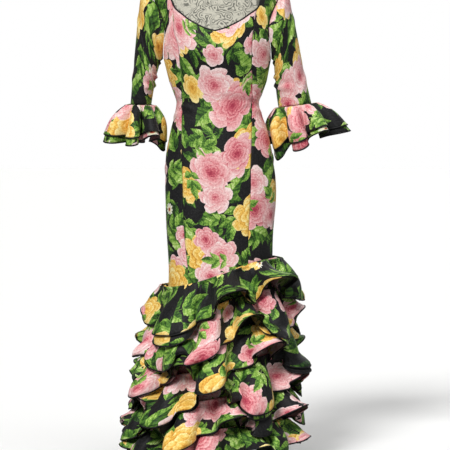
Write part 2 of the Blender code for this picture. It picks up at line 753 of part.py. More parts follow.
def plate(name, outline, thick, finish):
    """A flat outline in X and Z, as a filled curve made a mesh; its thickness lies along Y."""
    curve = bpy.data.curves.new(name + "_outline", "CURVE")
    curve.dimensions = "2D"
    curve.fill_mode = "BOTH"
    curve.extrude = thick / 2
    line = curve.splines.new("POLY")
    line.points.add(len(outline) - 1)
    for point, (x, z) in zip(line.points, outline):
        point.co = (x, z, 0, 1)
    line.use_cyclic_u = True
    drawn = new_object(name + "_outline", curve, finish)
    drawn.rotation_euler = (math.pi / 2, 0, 0)
    bpy.context.view_layer.update()
    solid = drawn.evaluated_get(bpy.context.evaluated_depsgraph_get())
    mesh = bpy.data.meshes.new_from_object(solid)
    mesh.transform(drawn.matrix_world)
    bpy.data.objects.remove(drawn)
    shape = bmesh.new()
    shape.from_mesh(mesh)
    bmesh.ops.remove_doubles(shape, verts=shape.verts, dist=1e-6)
    return from_bmesh(name, shape, finish)


def combine(obj, other, operation):
    """Joins or cuts with another solid, which stays as a hidden tool."""
    change = obj.modifiers.new(other.name, "BOOLEAN")
    change.operation = operation
    change.solver = "EXACT"
    change.object = other
    other.hide_render = True
    other.display_type = "WIRE"
    DRESS.objects.unlink(other)
    TOOLS.objects.link(other)


def place(objects, middle, lean=0.0):
    """Puts pieces at a point, leant back about X."""
    for obj in objects:
        obj.location = middle
        obj.rotation_euler = (lean, 0, 0)


def zip_seat(seam):
    """Where the slider lies on the centre back seam, and how far the seam leans there."""
    top = int(np.searchsorted(seam[:, 2], SLIDER_Z))
    below, above = seam[top - 1], seam[top]
    share = (SLIDER_Z - below[2]) / (above[2] - below[2])
    lean = math.atan2(below[1] - above[1], above[2] - below[2])
    rise = (CLOTH + REST_GAP) * np.array([0, math.cos(lean), math.sin(lean)])
    return Vector(below + (above - below) * share + rise), lean


def zip_slider(seat, lean):
    """A plate with two lugs that hold a pin."""
    half, tall = SLIDER_WIDTH / 2, SLIDER_HEIGHT / 2
    slider = block("zip_slider", (-half, 0, -tall), (half, SLIDER_THICK, tall), METAL)
    lug_out = SLIDER_THICK + LUG_REACH
    sunk, lug_tall = SLIDER_THICK / 2, tall / 2
    lugs = [
        block(f"lug_{side}", (low, sunk, -lug_tall), (low + LUG_THICK, lug_out, lug_tall), METAL)
        for side, low in (("right", -half), ("left", half - LUG_THICK))
    ]
    pin = rod("pin", PIN_RADIUS, half - LUG_THICK / 2, (0, PIN_OUT, 0), METAL)
    for other in (*lugs, pin):
        combine(slider, other, "UNION")
    place((slider, *lugs, pin), seat, lean)


def zip_pull_tab(hinge):
    """A flat tab that hangs straight down from an eye on the pin; its origin is the pin's axis."""
    wide = TAB_WIDTH / 2
    root = -EYE_RADIUS - EYE_WALL / 2
    right_side = [(wide, root)] + [(share * wide, -down * TAB_LENGTH) for share, down in TAB_TIP]
    tail_outline = right_side + [(-x, z) for x, z in reversed(right_side)]
    tab = rod("zip_pull_tab", EYE_RADIUS + EYE_WALL, wide, (0, 0, 0), METAL)
    tail = plate("tail", tail_outline, TAB_THICK, METAL)
    eye = rod("eye", EYE_RADIUS, TAB_WIDTH, (0, 0, 0), METAL)
    combine(tab, tail, "UNION")
    combine(tab, eye, "DIFFERENCE")
    place((tab, tail, eye), hinge)


def form_torso():
    """The form's body, a little inside the cloth and touching it only at the shoulders."""
    theta = np.linspace(-math.pi, math.pi, TORSO_POINTS, endpoint=False)
    rows = []
    for z in TORSO_LEVELS:
        near = np.clip((z - SHOULDER_FROM) / SHOULDER_OVER, 0, 1)
        inset = EASE + (SHOULDER_EASE - EASE) * near * near * (3 - 2 * near)
        if z in (TORSO_LEVELS[0], TORSO_LEVELS[-1]):
            inset += TORSO_ROUNDING
        level = np.full(len(theta), z)
        beside = np.abs(np.sin(theta)) ** ARM_PLATE_NARROW * (ARM_PLATE[0] < z < ARM_PLATE[1])
        rows.append(on_figure(theta, level, -inset - ARM_PLATE_EASE * beside))
    loft("form_torso", np.array(rows), LINEN, ring=True, ends=True)


def form_stand():
    """Round base, pole and the flange under the torso, turned as one from a profile."""
    top = TORSO_LEVELS[0] - REST_GAP
    profile = (
        (0.0, top),
        (FLANGE_RADIUS, top),
        (FLANGE_RADIUS, top - FLANGE_THICK),
        (POLE_RADIUS, top - FLANGE_THICK - FLANGE_TAPER),
        (POLE_RADIUS, BASE_THICK + BOSS_HEIGHT),
        (BOSS_RADIUS, BASE_THICK + BOSS_FOOT),
        (BASE_RADIUS - BASE_BEVEL, BASE_THICK),
        (BASE_RADIUS, BASE_THICK - BASE_BEVEL),
        (BASE_RADIUS, BASE_BEVEL),
        (BASE_RADIUS - BASE_BEVEL, 0.0),
        (0.0, 0.0),
    )
    mesh = bpy.data.meshes.new("form_stand")
    edges = [(k, k + 1) for k in range(len(profile) - 1)]
    mesh.from_pydata([(r, 0.0, z) for r, z in profile], edges, [])
    turned = new_object("form_stand", mesh, STEEL).modifiers.new("turned", "SCREW")
    turned.axis = "Z"
    turned.steps = turned.render_steps = STAND_SEGMENTS
    turned.use_merge_vertices = True
    turned.merge_threshold = 1e-5


# ---------------------------------------------------------------- the whole dress
clear_scene()
DRESS = bpy.data.collections.new("flamenco_dress")
TOOLS = bpy.data.collections.new("cutters_and_joined_pieces")
bpy.context.scene.collection.children.link(DRESS)
bpy.context.scene.collection.children.link(TOOLS)

neck_loop, back_seam = body_panels()
neck_binding(*neck_loop)
foundation_skirt()
sleeve("sleeve_right", RIGHT_ARM_SLEEVE)
sleeve("sleeve_left", LEFT_ARM_SLEEVE)
cuff_flounces("right", RIGHT_ARM_SLEEVE, RIGHT_ARM_LOBES)
cuff_flounces("left", LEFT_ARM_SLEEVE, LEFT_ARM_LOBES)
for number, (sizes, lobes) in enumerate(zip(FLOUNCES, LOBES), start=1):
    skirt_flounce(f"skirt_flounce_{number}", sizes, lobes)
slider_seat, back_lean = zip_seat(back_seam)
zip_slider(slider_seat, back_lean)
zip_pull_tab(slider_seat + Vector((0, math.cos(back_lean), math.sin(back_lean))) * PIN_OUT)
form_torso()
form_stand()
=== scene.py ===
"""A fitted flamenco dress in rose print, worn by a limbless dress form.

The dress faces -Y, +X is the wearer's left, +Z is up and the floor is z = 0. Units are metres.
"""

import math

import bmesh
import bpy
import numpy as np
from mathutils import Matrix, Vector


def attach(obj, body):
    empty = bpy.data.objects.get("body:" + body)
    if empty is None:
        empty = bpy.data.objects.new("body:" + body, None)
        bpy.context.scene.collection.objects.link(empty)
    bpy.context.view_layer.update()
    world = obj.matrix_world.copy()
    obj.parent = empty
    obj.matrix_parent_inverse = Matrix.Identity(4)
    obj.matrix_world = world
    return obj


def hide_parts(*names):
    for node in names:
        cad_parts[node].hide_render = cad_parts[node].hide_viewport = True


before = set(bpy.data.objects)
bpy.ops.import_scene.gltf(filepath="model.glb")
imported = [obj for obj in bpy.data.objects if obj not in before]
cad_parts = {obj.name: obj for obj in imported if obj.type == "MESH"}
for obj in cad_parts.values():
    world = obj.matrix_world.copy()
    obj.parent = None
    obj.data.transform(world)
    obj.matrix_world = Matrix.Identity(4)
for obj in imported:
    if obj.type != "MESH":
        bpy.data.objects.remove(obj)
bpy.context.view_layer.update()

# ================================================================ the form's body
# A torso of stiff felt under a printed cotton cover, closed at the neck and flat underneath.
# Its sections are the figure's own, drawn in by the room that the dress has over it.

FIGURE_COLUMNS = ("height", "middle", "half_width", "front", "back")
FIGURE = (
    (0.010, -0.012, 0.206, 0.196, 0.212),
    (0.200, -0.006, 0.191, 0.176, 0.192),
    (0.400, 0.003, 0.173, 0.147, 0.163),
    (0.542, 0.007, 0.163, 0.128, 0.146),
    (0.605, 0.008, 0.162, 0.122, 0.141),
    (0.699, 0.006, 0.165, 0.118, 0.140),
    (0.857, 0.009, 0.173, 0.116, 0.143),
    (0.945, 0.005, 0.1685, 0.112, 0.133),
    (1.046, 0.003, 0.150, 0.104, 0.106),
    (1.084, 0.001, 0.1385, 0.100, 0.096),
    (1.131, -0.001, 0.1280, 0.096, 0.089),
    (1.159, 0.000, 0.1370, 0.099, 0.091),
    (1.210, 0.000, 0.1550, 0.104, 0.096),
    (1.247, -0.002, 0.1640, 0.107, 0.100),
    (1.300, -0.003, 0.1700, 0.109, 0.104),
    (1.360, -0.004, 0.1760, 0.104, 0.105),
    (1.420, -0.005, 0.1900, 0.091, 0.099),
    (1.455, -0.006, 0.1990, 0.081, 0.091),
    (1.475, -0.006, 0.2030, 0.074, 0.084),
    (1.487, -0.006, 0.1990, 0.067, 0.076),
    (1.498, -0.006, 0.1740, 0.061, 0.067),
    (1.510, -0.006, 0.1340, 0.056, 0.060),
    (1.530, -0.006, 0.0800, 0.051, 0.053),
    (1.548, -0.006, 0.0600, 0.053, 0.053),
    (1.600, -0.006, 0.0560, 0.055, 0.055),
)
ROUNDING = 0.85  # under 1 flattens the front and the back of a section
BUST_Z = 1.300
BUST_REACH = 0.016
BUST_FLAT = 0.070  # half the width over which the cloth spans the bust
BUST_FADE = 0.052
BUST_TALL = 0.070
BUST_DIP = 0.004  # hollow between the two cups
EASE = 0.004  # room between the cloth and the form
SHOULDER_EASE = 0.0030  # the cloth rests on the form's shoulders
SHOULDER_Z = 1.400  # where they begin
SHOULDER_FADE = 0.055
ARM_PLATE_EASE = 0.0080  # more room at the form's sides, inside the armholes
ARM_PLATE_LOW_Z = 1.235
ARM_PLATE_LOW_FADE = 0.03
ARM_PLATE_HIGH_Z = 1.510
ARM_PLATE_HIGH_FADE = 0.02
TORSO_LOW_Z = 0.745
TORSO_HIGH_Z = 1.600
TORSO_ROUNDING = 0.012  # how far its lower and upper edges are drawn in
TORSO_ROWS = 150
TORSO_POINTS = 120
COVER_CREAM = (0.62, 0.60, 0.50)
COVER_SHADE = (0.48, 0.46, 0.38)
COVER_INK = (0.10, 0.10, 0.085)


def smooth_curve(places, values, at):
    """Cubic through the rows of a table that never overshoots them: each slope is the harmonic
    mean of the two neighbouring rises, or nought where these differ in sign."""
    places, values = np.asarray(places, float), np.asarray(values, float)
    step = np.diff(places)
    rise = np.diff(values) / step
    slope = np.zeros(len(places))
    same = rise[:-1] * rise[1:] > 0
    slope[1:-1][same] = 2 / (1 / rise[:-1][same] + 1 / rise[1:][same])
    slope[0], slope[-1] = rise[0], rise[-1]
    at = np.clip(at, places[0], places[-1])
    i = np.clip(np.searchsorted(places, at) - 1, 0, len(step) - 1)
    t = (at - places[i]) / step[i]
    return (
        (2 * t**3 - 3 * t**2 + 1) * values[i]
        + (t**3 - 2 * t**2 + t) * step[i] * slope[i]
        + (3 * t**2 - 2 * t**3) * values[i + 1]
        + (t**3 - t**2) * step[i] * slope[i + 1]
    )


def eased(share):
    """A share of 0 to 1 made to start and to end level: 3 times its square less 2 times its cube."""
    return share**2 * (3 - 2 * share)


def column(name, at):
    """A column of the figure's table at any height."""
    k = FIGURE_COLUMNS.index(name)
    return smooth_curve([row[0] for row in FIGURE], [row[k] for row in FIGURE], at)


def bust(x, z):
    """How far the cloth stands out over the bust: a bell across and up, flat between the cups."""
    aside = np.maximum(np.abs(x) - BUST_FLAT, 0) / BUST_FADE
    rise = (z - BUST_Z) / BUST_TALL
    dip = BUST_DIP * np.exp(-((x / 0.03) ** 2))
    return (BUST_REACH * np.exp(-(aside**2)) - dip) * np.exp(-(rise**2))


def figure(theta, z):
    """Point at angle theta, 0 at the front and 90 degrees at +X, and height z: half the width
    times the sine across, and the depth times a power of the cosine forwards."""
    theta, z = np.broadcast_arrays(np.asarray(theta, float), np.asarray(z, float))
    side = np.cos(theta)
    x = column("half_width", z) * np.sin(theta)
    depth = np.where(side > 0, column("front", z), column("back", z))
    y = -np.sign(side) * depth * np.abs(side) ** ROUNDING
    y = y - bust(x, z) * np.clip(side, 0, 1)
    return np.stack([x + column("middle", z), y, z], axis=-1)


def unit(vectors):
    return vectors / np.maximum(np.linalg.norm(vectors, axis=-1, keepdims=True), 1e-12)


def outward(theta, z, level=False):
    """Unit normal of the figure: across its two directions, or level with the floor."""
    nudge = 2e-3
    around = figure(theta + nudge, z) - figure(theta - nudge, z)
    up = figure(theta, z + nudge) - figure(theta, z - nudge)
    if level:
        up = np.broadcast_to(np.array([0.0, 0.0, 1.0]), around.shape)
    return unit(np.cross(around, up))


def on_figure(theta, z, lift):
    """Point that stands off the figure by lift, along its normal."""
    return figure(theta, z) + outward(theta, z) * np.asarray(lift)[..., None]


def lengths(grid, axis):
    """Running length along the rows or the columns of a grid, the same shape as the grid."""
    step = np.linalg.norm(np.diff(grid, axis=axis), axis=-1)
    run = np.cumsum(step, axis=axis)
    start = np.zeros_like(np.take(run, [0], axis=axis))
    return np.concatenate([start, run], axis=axis)


def grid_mesh(name, grid, ring=False, at=(0.0, 0.0), flared=False, caps=False):
    """Quads through a grid of points: rows run upwards, columns anticlockwise from above. The UV
    map holds metres of cloth from the point named by at: along each row from its middle, or on
    a flared piece along the middle row, and up the columns."""
    rows, columns = grid.shape[:2]
    across = columns if ring else columns - 1
    i, j = np.mgrid[:rows - 1, :across]
    right = (j + 1) % columns
    corners = np.stack(
        [i * columns + j, i * columns + right, (i + 1) * columns + right, (i + 1) * columns + j],
        axis=-1,
    ).reshape(-1, 4)
    mesh = bpy.data.meshes.new(name)
    mesh.from_pydata(grid.reshape(-1, 3), [], corners)
    whole = np.concatenate([grid, grid[:, :1]], axis=1) if ring else grid
    u, v = lengths(whole, 1), lengths(whole, 0)
    if flared:
        u = np.broadcast_to(u[rows // 2], u.shape)
    elif not ring:
        u = u - u[:, columns // 2][:, None]
    v = np.broadcast_to(v.mean(axis=1, keepdims=True), v.shape)
    uv = np.stack([u + at[0], v + at[1]], axis=-1)
    faces = np.stack([uv[:-1, :-1], uv[:-1, 1:], uv[1:, 1:], uv[1:, :-1]], axis=2)
    mesh.uv_layers.new(name="cloth").uv.foreach_set("vector", faces[:, :across].ravel())
    if caps:
        shape = bmesh.new()
        shape.from_mesh(mesh)
        bmesh.ops.holes_fill(shape, edges=[edge for edge in shape.edges if edge.is_boundary])
        shape.to_mesh(mesh)
        shape.free()
    mesh.shade_smooth()
    mesh.update()
    obj = bpy.data.objects.new(name, mesh)
    bpy.context.scene.collection.objects.link(obj)
    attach(obj, "dress")
    return obj


class Wire:
    """An output of a node. Arithmetic on a wire adds Math nodes to its material."""

    def __init__(self, tree, socket):
        self.tree = tree
        self.socket = socket

    def node(self, kind, settings=None, sockets=None, output=0):
        """Adds a node of that kind; its settings are set first, then its sockets' values."""
        made = self.tree.nodes.new("ShaderNode" + kind)
        for key, value in (settings or {}).items():
            if key == "stops":
                while len(made.color_ramp.elements) < len(value):
                    made.color_ramp.elements.new(1.0)
                for stop, (place, colour) in zip(made.color_ramp.elements, value):
                    stop.position = place
                    stop.color = (*colour, 1.0)
            else:
                setattr(made, key, value)
        for key, value in (sockets or {}).items():
            if isinstance(value, Wire):
                self.tree.links.new(value.socket, made.inputs[key])
            else:
                made.inputs[key].default_value = value
        return Wire(self.tree, made.outputs[output])

    def out(self, name):
        return Wire(self.tree, self.socket.node.outputs[name])

    def maths(self, operation, *others):
        return self.node("Math", {"operation": operation}, dict(enumerate((self, *others))))

    def __add__(self, other):
        return self.maths("ADD", other)

    def __sub__(self, other):
        return self.maths("SUBTRACT", other)

    def __mul__(self, other):
        return self.maths("MULTIPLY", other)

    def __truediv__(self, other):
        return self.maths("DIVIDE", other)

    def __pow__(self, other):
        return self.maths("POWER", other)

    __radd__ = __add__
    __rmul__ = __mul__

    def __rsub__(self, other):
        return self.node("Math", {"operation": "SUBTRACT"}, {0: other, 1: self})

    def ramp(self, low, high, start=0.0, end=1.0):
        """Straight line from start at low to end at high, level beyond them."""
        return self.node("MapRange", {}, {0: self, 1: low, 2: high, 3: start, 4: end})

    def over(self, mask, under):
        """This colour where the mask is 1, and the other one where it is 0."""
        return self.node("Mix", {"data_type": "RGBA"}, {0: mask, 6: under, 7: self}, 2)

    def shaded(self, amount):
        """This colour times a number."""
        grey = self.node("CombineColor", {}, {0: amount, 1: amount, 2: amount})
        return self.node("Mix", {"data_type": "RGBA", "blend_type": "MULTIPLY"},
                         {0: 1.0, 6: self, 7: grey}, 2)

    def noise(self, scale, detail=2.0, output=0, **others):
        """Cloudy noise at this place, with so many clouds to the metre and so many octaves."""
        sockets = {"Vector": self, "Scale": scale, "Detail": detail, **others}
        return self.node("TexNoise", {}, sockets, output)

    def tinted(self, *stops):
        """Colour at this number of a ramp through these stops, each a place and a colour."""
        return self.node("ValToRGB", {"stops": stops}, {0: self})

    def plain(self, colour):
        """A wire that holds this colour."""
        made = self.node("RGB")
        made.socket.default_value = (*colour, 1.0)
        return made

    def bumps(self, strength, distance):
        """Normal of a surface that this height stands out of by up to that distance."""
        return self.node("Bump", {}, {"Strength": strength, "Distance": distance, "Height": self})


def new_finish(name, uv_map=None, **sockets):
    """A Principled material with these values; returns it, its shader and its coordinates, the
    object's own or those of a UV map."""
    made = bpy.data.materials.new(name)
    made.use_nodes = True
    shader = made.node_tree.nodes["Principled BSDF"]
    for key, value in sockets.items():
        shader.inputs[key.replace("_", " ")].default_value = value
    start = Wire(made.node_tree, shader.outputs[0])
    if uv_map:
        return made, shader, start.node("UVMap", {"uv_map": uv_map})
    return made, shader, start.node("TexCoord", {}, {}, "Object")


def feed(shader, key, wire):
    wire.tree.links.new(wire.socket, shader.inputs[key])


def cover_print():
    """Cream cotton printed with fine inked contour lines, wider apart in some patches."""
    made, shader, place = new_finish("form_cover", Roughness=0.85)
    lines = (place.noise(34.0, 1.0) * 62.0).maths("SINE").ramp(-0.20, 0.55)
    patch = place.noise(30.0).ramp(0.60, 0.50)
    thread = place.noise(900.0)
    ground = thread.tinted((0.35, COVER_SHADE), (0.65, COVER_CREAM))
    inked = lines * patch.ramp(0.0, 1.0, 0.08, 0.86)
    feed(shader, "Base Color", place.plain(COVER_INK).over(inked, ground))
    feed(shader, "Normal", thread.bumps(0.25, 0.0003))
    return made


torso_z = np.concatenate([
    [TORSO_LOW_Z, TORSO_LOW_Z + TORSO_ROUNDING / 3, TORSO_LOW_Z + TORSO_ROUNDING],
    np.linspace(TORSO_LOW_Z + 0.025, TORSO_HIGH_Z - TORSO_ROUNDING, TORSO_ROWS),
    [TORSO_HIGH_Z - TORSO_ROUNDING / 3, TORSO_HIGH_Z],
])
torso_turn = np.linspace(-math.pi, math.pi, TORSO_POINTS, endpoint=False)
inset = EASE + (SHOULDER_EASE - EASE) * eased(np.clip((torso_z - SHOULDER_Z) / SHOULDER_FADE, 0, 1))
from_end = np.minimum(torso_z - TORSO_LOW_Z, TORSO_HIGH_Z - torso_z)
inset += TORSO_ROUNDING * np.clip(1 - from_end / TORSO_ROUNDING, 0, 1) ** 2
arm_plate = np.clip((torso_z - ARM_PLATE_LOW_Z) / ARM_PLATE_LOW_FADE, 0, 1)
arm_plate *= np.clip((ARM_PLATE_HIGH_Z - torso_z) / ARM_PLATE_HIGH_FADE, 0, 1)
beside = np.abs(np.sin(torso_turn)) ** 6 * arm_plate[:, None]
torso_grid = on_figure(
    torso_turn[None, :] + 0 * torso_z[:, None], torso_z[:, None] + 0 * torso_turn,
    -inset[:, None] - ARM_PLATE_EASE * beside,
)
torso = grid_mesh("form_torso_cover", torso_grid, ring=True, caps=True)
torso.data.materials.append(cover_print())
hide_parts("form_torso")

# ================================================================ the form's stand
# A spun steel base with a boss, a tube that rises from it and a flange that is screwed under
# the torso, all with a black powder coat that is rubbed thin in small clouds all over.

REST_GAP = 0.0003
FLANGE_RADIUS = 0.055
FLANGE_THICK = 0.006
POLE_RADIUS = 0.016
BOSS_RADIUS = 0.030
BOSS_HEIGHT = 0.020
BASE_RADIUS = 0.150
BASE_THICK = 0.012
BASE_BEVEL = 0.003
FILLET = 0.004  # at the boss's foot and under the flange
SMALL_EDGE = 0.001
STAND_AXIS = 0.0001  # radius at which its end faces are closed
STAND_SIDES = 96
COAT_BLACK = (0.030, 0.030, 0.032)
RUBBED_STEEL = (0.14, 0.14, 0.145)


def rubbed_metal(name, metallic, clouds, stops, roughness, grains, grain_depth):
    """Metal with clouds of wear: their noise gives the colour by the stops and a roughness
    between two values, and a noise of finer grains stands out of it."""
    made, shader, place = new_finish(name, Metallic=metallic)
    cloud = place.noise(clouds, 4.0)
    feed(shader, "Base Color", cloud.tinted(*stops))
    feed(shader, "Roughness", cloud.ramp(0.3, 0.7, *roughness))
    feed(shader, "Normal", place.noise(grains).bumps(0.2, grain_depth))
    return made


pole_top = TORSO_LOW_Z - REST_GAP
stand_profile = np.array((
    (STAND_AXIS, 0.0),
    (BASE_RADIUS - BASE_BEVEL, 0.0),
    (BASE_RADIUS - 0.3 * BASE_BEVEL, 0.3 * BASE_BEVEL),
    (BASE_RADIUS, BASE_BEVEL),
    (BASE_RADIUS, BASE_THICK - BASE_BEVEL),
    (BASE_RADIUS - 0.3 * BASE_BEVEL, BASE_THICK - 0.3 * BASE_BEVEL),
    (BASE_RADIUS - BASE_BEVEL, BASE_THICK),
    (BOSS_RADIUS + FILLET, BASE_THICK + SMALL_EDGE),
    (BOSS_RADIUS, BASE_THICK + FILLET),
    (POLE_RADIUS + SMALL_EDGE, BASE_THICK + BOSS_HEIGHT),
    (POLE_RADIUS, BASE_THICK + BOSS_HEIGHT + SMALL_EDGE),
    (POLE_RADIUS, pole_top - FLANGE_THICK - 2 * FILLET),
    (FLANGE_RADIUS - SMALL_EDGE, pole_top - FLANGE_THICK),
    (FLANGE_RADIUS, pole_top - FLANGE_THICK + SMALL_EDGE),
    (FLANGE_RADIUS, pole_top),
    (STAND_AXIS, pole_top),
))
stand_turn = np.linspace(0, 2 * math.pi, STAND_SIDES, endpoint=False)
stand_grid = np.stack([
    np.outer(stand_profile[:, 0], np.cos(stand_turn)),
    np.outer(stand_profile[:, 0], np.sin(stand_turn)),
    np.outer(stand_profile[:, 1], np.ones(STAND_SIDES)),
], axis=-1)
stand = grid_mesh("form_stand_turned", stand_grid, ring=True, caps=True)
stand.data.set_sharp_from_angle(angle=math.radians(35))
stand.data.materials.append(rubbed_metal(
    "stand_steel", 0.55, 60.0, ((0.45, COAT_BLACK), (0.78, RUBBED_STEEL)), (0.50, 0.32), 1400.0, 0.0002))
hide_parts("form_stand")

# ================================================================ the bodice and skirt panels
# Seven princess panels of printed cotton sateen with a little stretch, joined by plain seams
# that draw in the cloth beside them. The print is roses, leaves and daisies on near-black.

CLOTH = 0.0016  # wall of the printed cloth
SEAM_GAP = 0.0012  # parting between two sewn pieces
HALF_GAP = SEAM_GAP / 2
PANEL_HEM_Z = 0.497
ARMPIT_Z = 1.270
SHOULDER_TIP_Z = 1.487
NECK_POINT_Z = 1.510
BUST_LEVEL_Z = 1.200  # where the seams of the side panels start to lean
FRONT_LEFT_SEAM = (
    (0.497, -0.092), (0.605, -0.101), (0.857, -0.118), (1.046, -0.116), (1.131, -0.112),
    (1.210, -0.114), (1.300, -0.120), (1.360, -0.134), (1.450, -0.137),
)
FRONT_RIGHT_SEAM = (
    (0.497, 0.084), (0.605, 0.086), (0.857, 0.093), (1.046, 0.103), (1.131, 0.107),
    (1.210, 0.107), (1.300, 0.109), (1.360, 0.114), (1.426, 0.1275),
)
BACK_SEAM = (
    (0.497, 0.086), (0.700, 0.084), (0.900, 0.082), (1.131, 0.066), (1.250, 0.082),
    (1.360, 0.100), (1.478, 0.119),
)
FRONT_NECK = (
    (1.3545, 0.000), (1.3625, 0.030), (1.3760, 0.060), (1.3900, 0.085), (1.4080, 0.107),
    (1.4260, 0.1275), (1.4500, 0.1370), (1.4800, 0.1420), (1.4980, 0.1400), (1.5100, 0.1340),
)
BACK_NECK = (
    (1.446, 0.000), (1.448, 0.030), (1.455, 0.065), (1.465, 0.095), (1.478, 0.119),
    (1.498, 0.1320), (1.510, 0.1340),
)
NECK_SHARES = (0, 0.35, 0.62, 0.82, 0.94, 1.0)  # how the rows crowd along a strap's neckline
ARMHOLE_FRONT = math.radians(25)  # how far the armhole cuts in
ARMHOLE_BACK = math.radians(21)
SIDE_COLUMNS = 30
LOW_ROWS = 100  # rows below the bust's level and above it
HIGH_ROWS = 50
JOIN_ROWS = 5.0  # rows over which a side panel passes from even angles to even widths
TIP_ROWS = 4.0  # and back again below the shoulder tip
PUCKER = 0.0012  # how far a seam draws the cloth in
PUCKER_WIDTH = 0.0035

# Creases of the body, one row each: the angle and the height of its middle, the lean of its
# line from level, half its length, its width and how far it stands out.
CREASES = (
    (-62, 1.152, 14, 0.052, 0.0065, 0.0046), (-50, 1.118, -8, 0.060, 0.0070, 0.0041),
    (-74, 1.094, 6, 0.046, 0.0060, 0.0038), (58, 1.146, -16, 0.050, 0.0065, 0.0049),
    (70, 1.108, -4, 0.056, 0.0070, 0.0041), (44, 1.128, 10, 0.044, 0.0060, 0.0030),
    (-56, 1.236, 38, 0.050, 0.0060, 0.0032), (54, 1.228, -34, 0.054, 0.0065, 0.0035),
    (-70, 1.300, 48, 0.038, 0.0065, 0.0041), (71, 1.306, -52, 0.042, 0.0065, 0.0043),
    (-58, 1.330, 62, 0.034, 0.0055, 0.0027), (60, 1.342, -58, 0.036, 0.0055, 0.0030),
    (-20, 1.072, 4, 0.070, 0.0100, 0.0022), (18, 1.164, -6, 0.064, 0.0090, 0.0019),
    (-30, 0.770, 70, 0.090, 0.0110, 0.0024), (26, 0.820, -76, 0.110, 0.0110, 0.0027),
    (-66, 0.720, 62, 0.080, 0.0100, 0.0035), (72, 0.740, -66, 0.086, 0.0100, 0.0038),
    (-8, 0.700, 84, 0.070, 0.0110, 0.0024), (48, 0.690, -80, 0.060, 0.0090, 0.0032),
    (-84, 0.930, 30, 0.060, 0.0080, 0.0027), (88, 0.960, -26, 0.062, 0.0080, 0.0030),
    (150, 1.066, 6, 0.060, 0.0070, 0.0049), (168, 1.094, -4, 0.052, 0.0070, 0.0041),
    (196, 1.082, 8, 0.064, 0.0070, 0.0049), (212, 1.110, -10, 0.050, 0.0065, 0.0038),
    (128, 1.124, 18, 0.054, 0.0065, 0.0041), (236, 1.136, -20, 0.048, 0.0065, 0.0043),
    (144, 1.322, 40, 0.052, 0.0075, 0.0035), (218, 1.336, -44, 0.050, 0.0075, 0.0038),
    (160, 0.800, -72, 0.090, 0.0110, 0.0030), (204, 0.770, 74, 0.096, 0.0110, 0.0032),
    (118, 0.860, 52, 0.070, 0.0090, 0.0032), (246, 0.830, -48, 0.074, 0.0090, 0.0030),
    (182, 0.700, 86, 0.060, 0.0100, 0.0027), (108, 1.290, 50, 0.034, 0.0060, 0.0035),
)
BODY_RADIUS = 0.145  # turns an angle into a width for the creases
RIPPLE = 0.0005

# The print. A rose is drawn in rings of petals: each ring's size, petals and start, and how
# light its petals are at their roots and at their rims.
ROSE_RINGS = (
    (0.17, 2, 0.10, 0.05, 0.42), (0.31, 3, 0.55, 0.22, 0.66), (0.50, 4, 0.20, 0.40, 0.84),
    (0.74, 5, 0.75, 0.52, 0.98), (1.00, 6, 0.35, 0.60, 1.00),
)
BUD_RINGS = ((0.34, 2, 0.30, 0.10, 0.60), (0.66, 4, 0.70, 0.38, 0.88), (1.00, 5, 0.15, 0.55, 1.00))
GOLD_RINGS = (
    (0.26, 3, 0.60, 0.25, 0.85), (0.56, 5, 0.30, 0.42, 1.00), (0.84, 6, 0.80, 0.36, 0.92),
    (1.00, 7, 0.20, 0.40, 0.80),
)
# Roses of one bunch: how far aside and up each stands from the bunch's middle, and its size, as
# shares of the bunch's reach.
BUNCH = ((0.46, 0.42, 0.50), (-0.26, -0.50, 0.44), (-0.26, 0.14, 0.62))
ROSE_PINKS = (
    (0.00, (0.40, 0.040, 0.075)), (0.22, (0.62, 0.125, 0.160)), (0.45, (0.80, 0.32, 0.335)),
    (0.70, (0.87, 0.50, 0.495)), (0.88, (0.93, 0.65, 0.63)), (1.00, (0.96, 0.77, 0.745)),
)
ROSE_YELLOWS = (
    (0.00, (0.42, 0.17, 0.018)), (0.30, (0.74, 0.36, 0.045)), (0.62, (0.92, 0.58, 0.12)),
    (1.00, (0.98, 0.82, 0.36)),
)
LEAF_GREENS = (
    (0.00, (0.006, 0.018, 0.006)), (0.28, (0.030, 0.090, 0.013)), (0.52, (0.105, 0.250, 0.030)),
    (0.78, (0.310, 0.520, 0.085)), (1.00, (0.640, 0.780, 0.330)),
)
# Leaflets of one sprig: where each is rooted on the stalk, its lean, its length and its width;
# the ones that lean are drawn on both sides.
SPRIG = ((-0.66, 1.00, 0.66, 0.21), (-0.22, 0.80, 0.76, 0.25), (0.06, 0.0, 0.90, 0.29))
DAISY = ((0.0, (0.70, 0.60, 0.30)), (0.6, (0.84, 0.82, 0.66)), (1.0, (0.90, 0.90, 0.84)))
DAISY_HEART = (0.34, 0.035, 0.020)
GROUND = (0.0050, 0.0050, 0.0056)
GROUND_WORN = (0.022, 0.022, 0.023)
WEAVE = 0.0007  # from one thread to the next
INKED = 0.98  # strength of the print on the right side
STRUCK_THROUGH_AND_PAINTED_SHADE = 0.22  # and on the wrong side: the ink's strike-through, kept this low as painted shade in the flounces' hollows
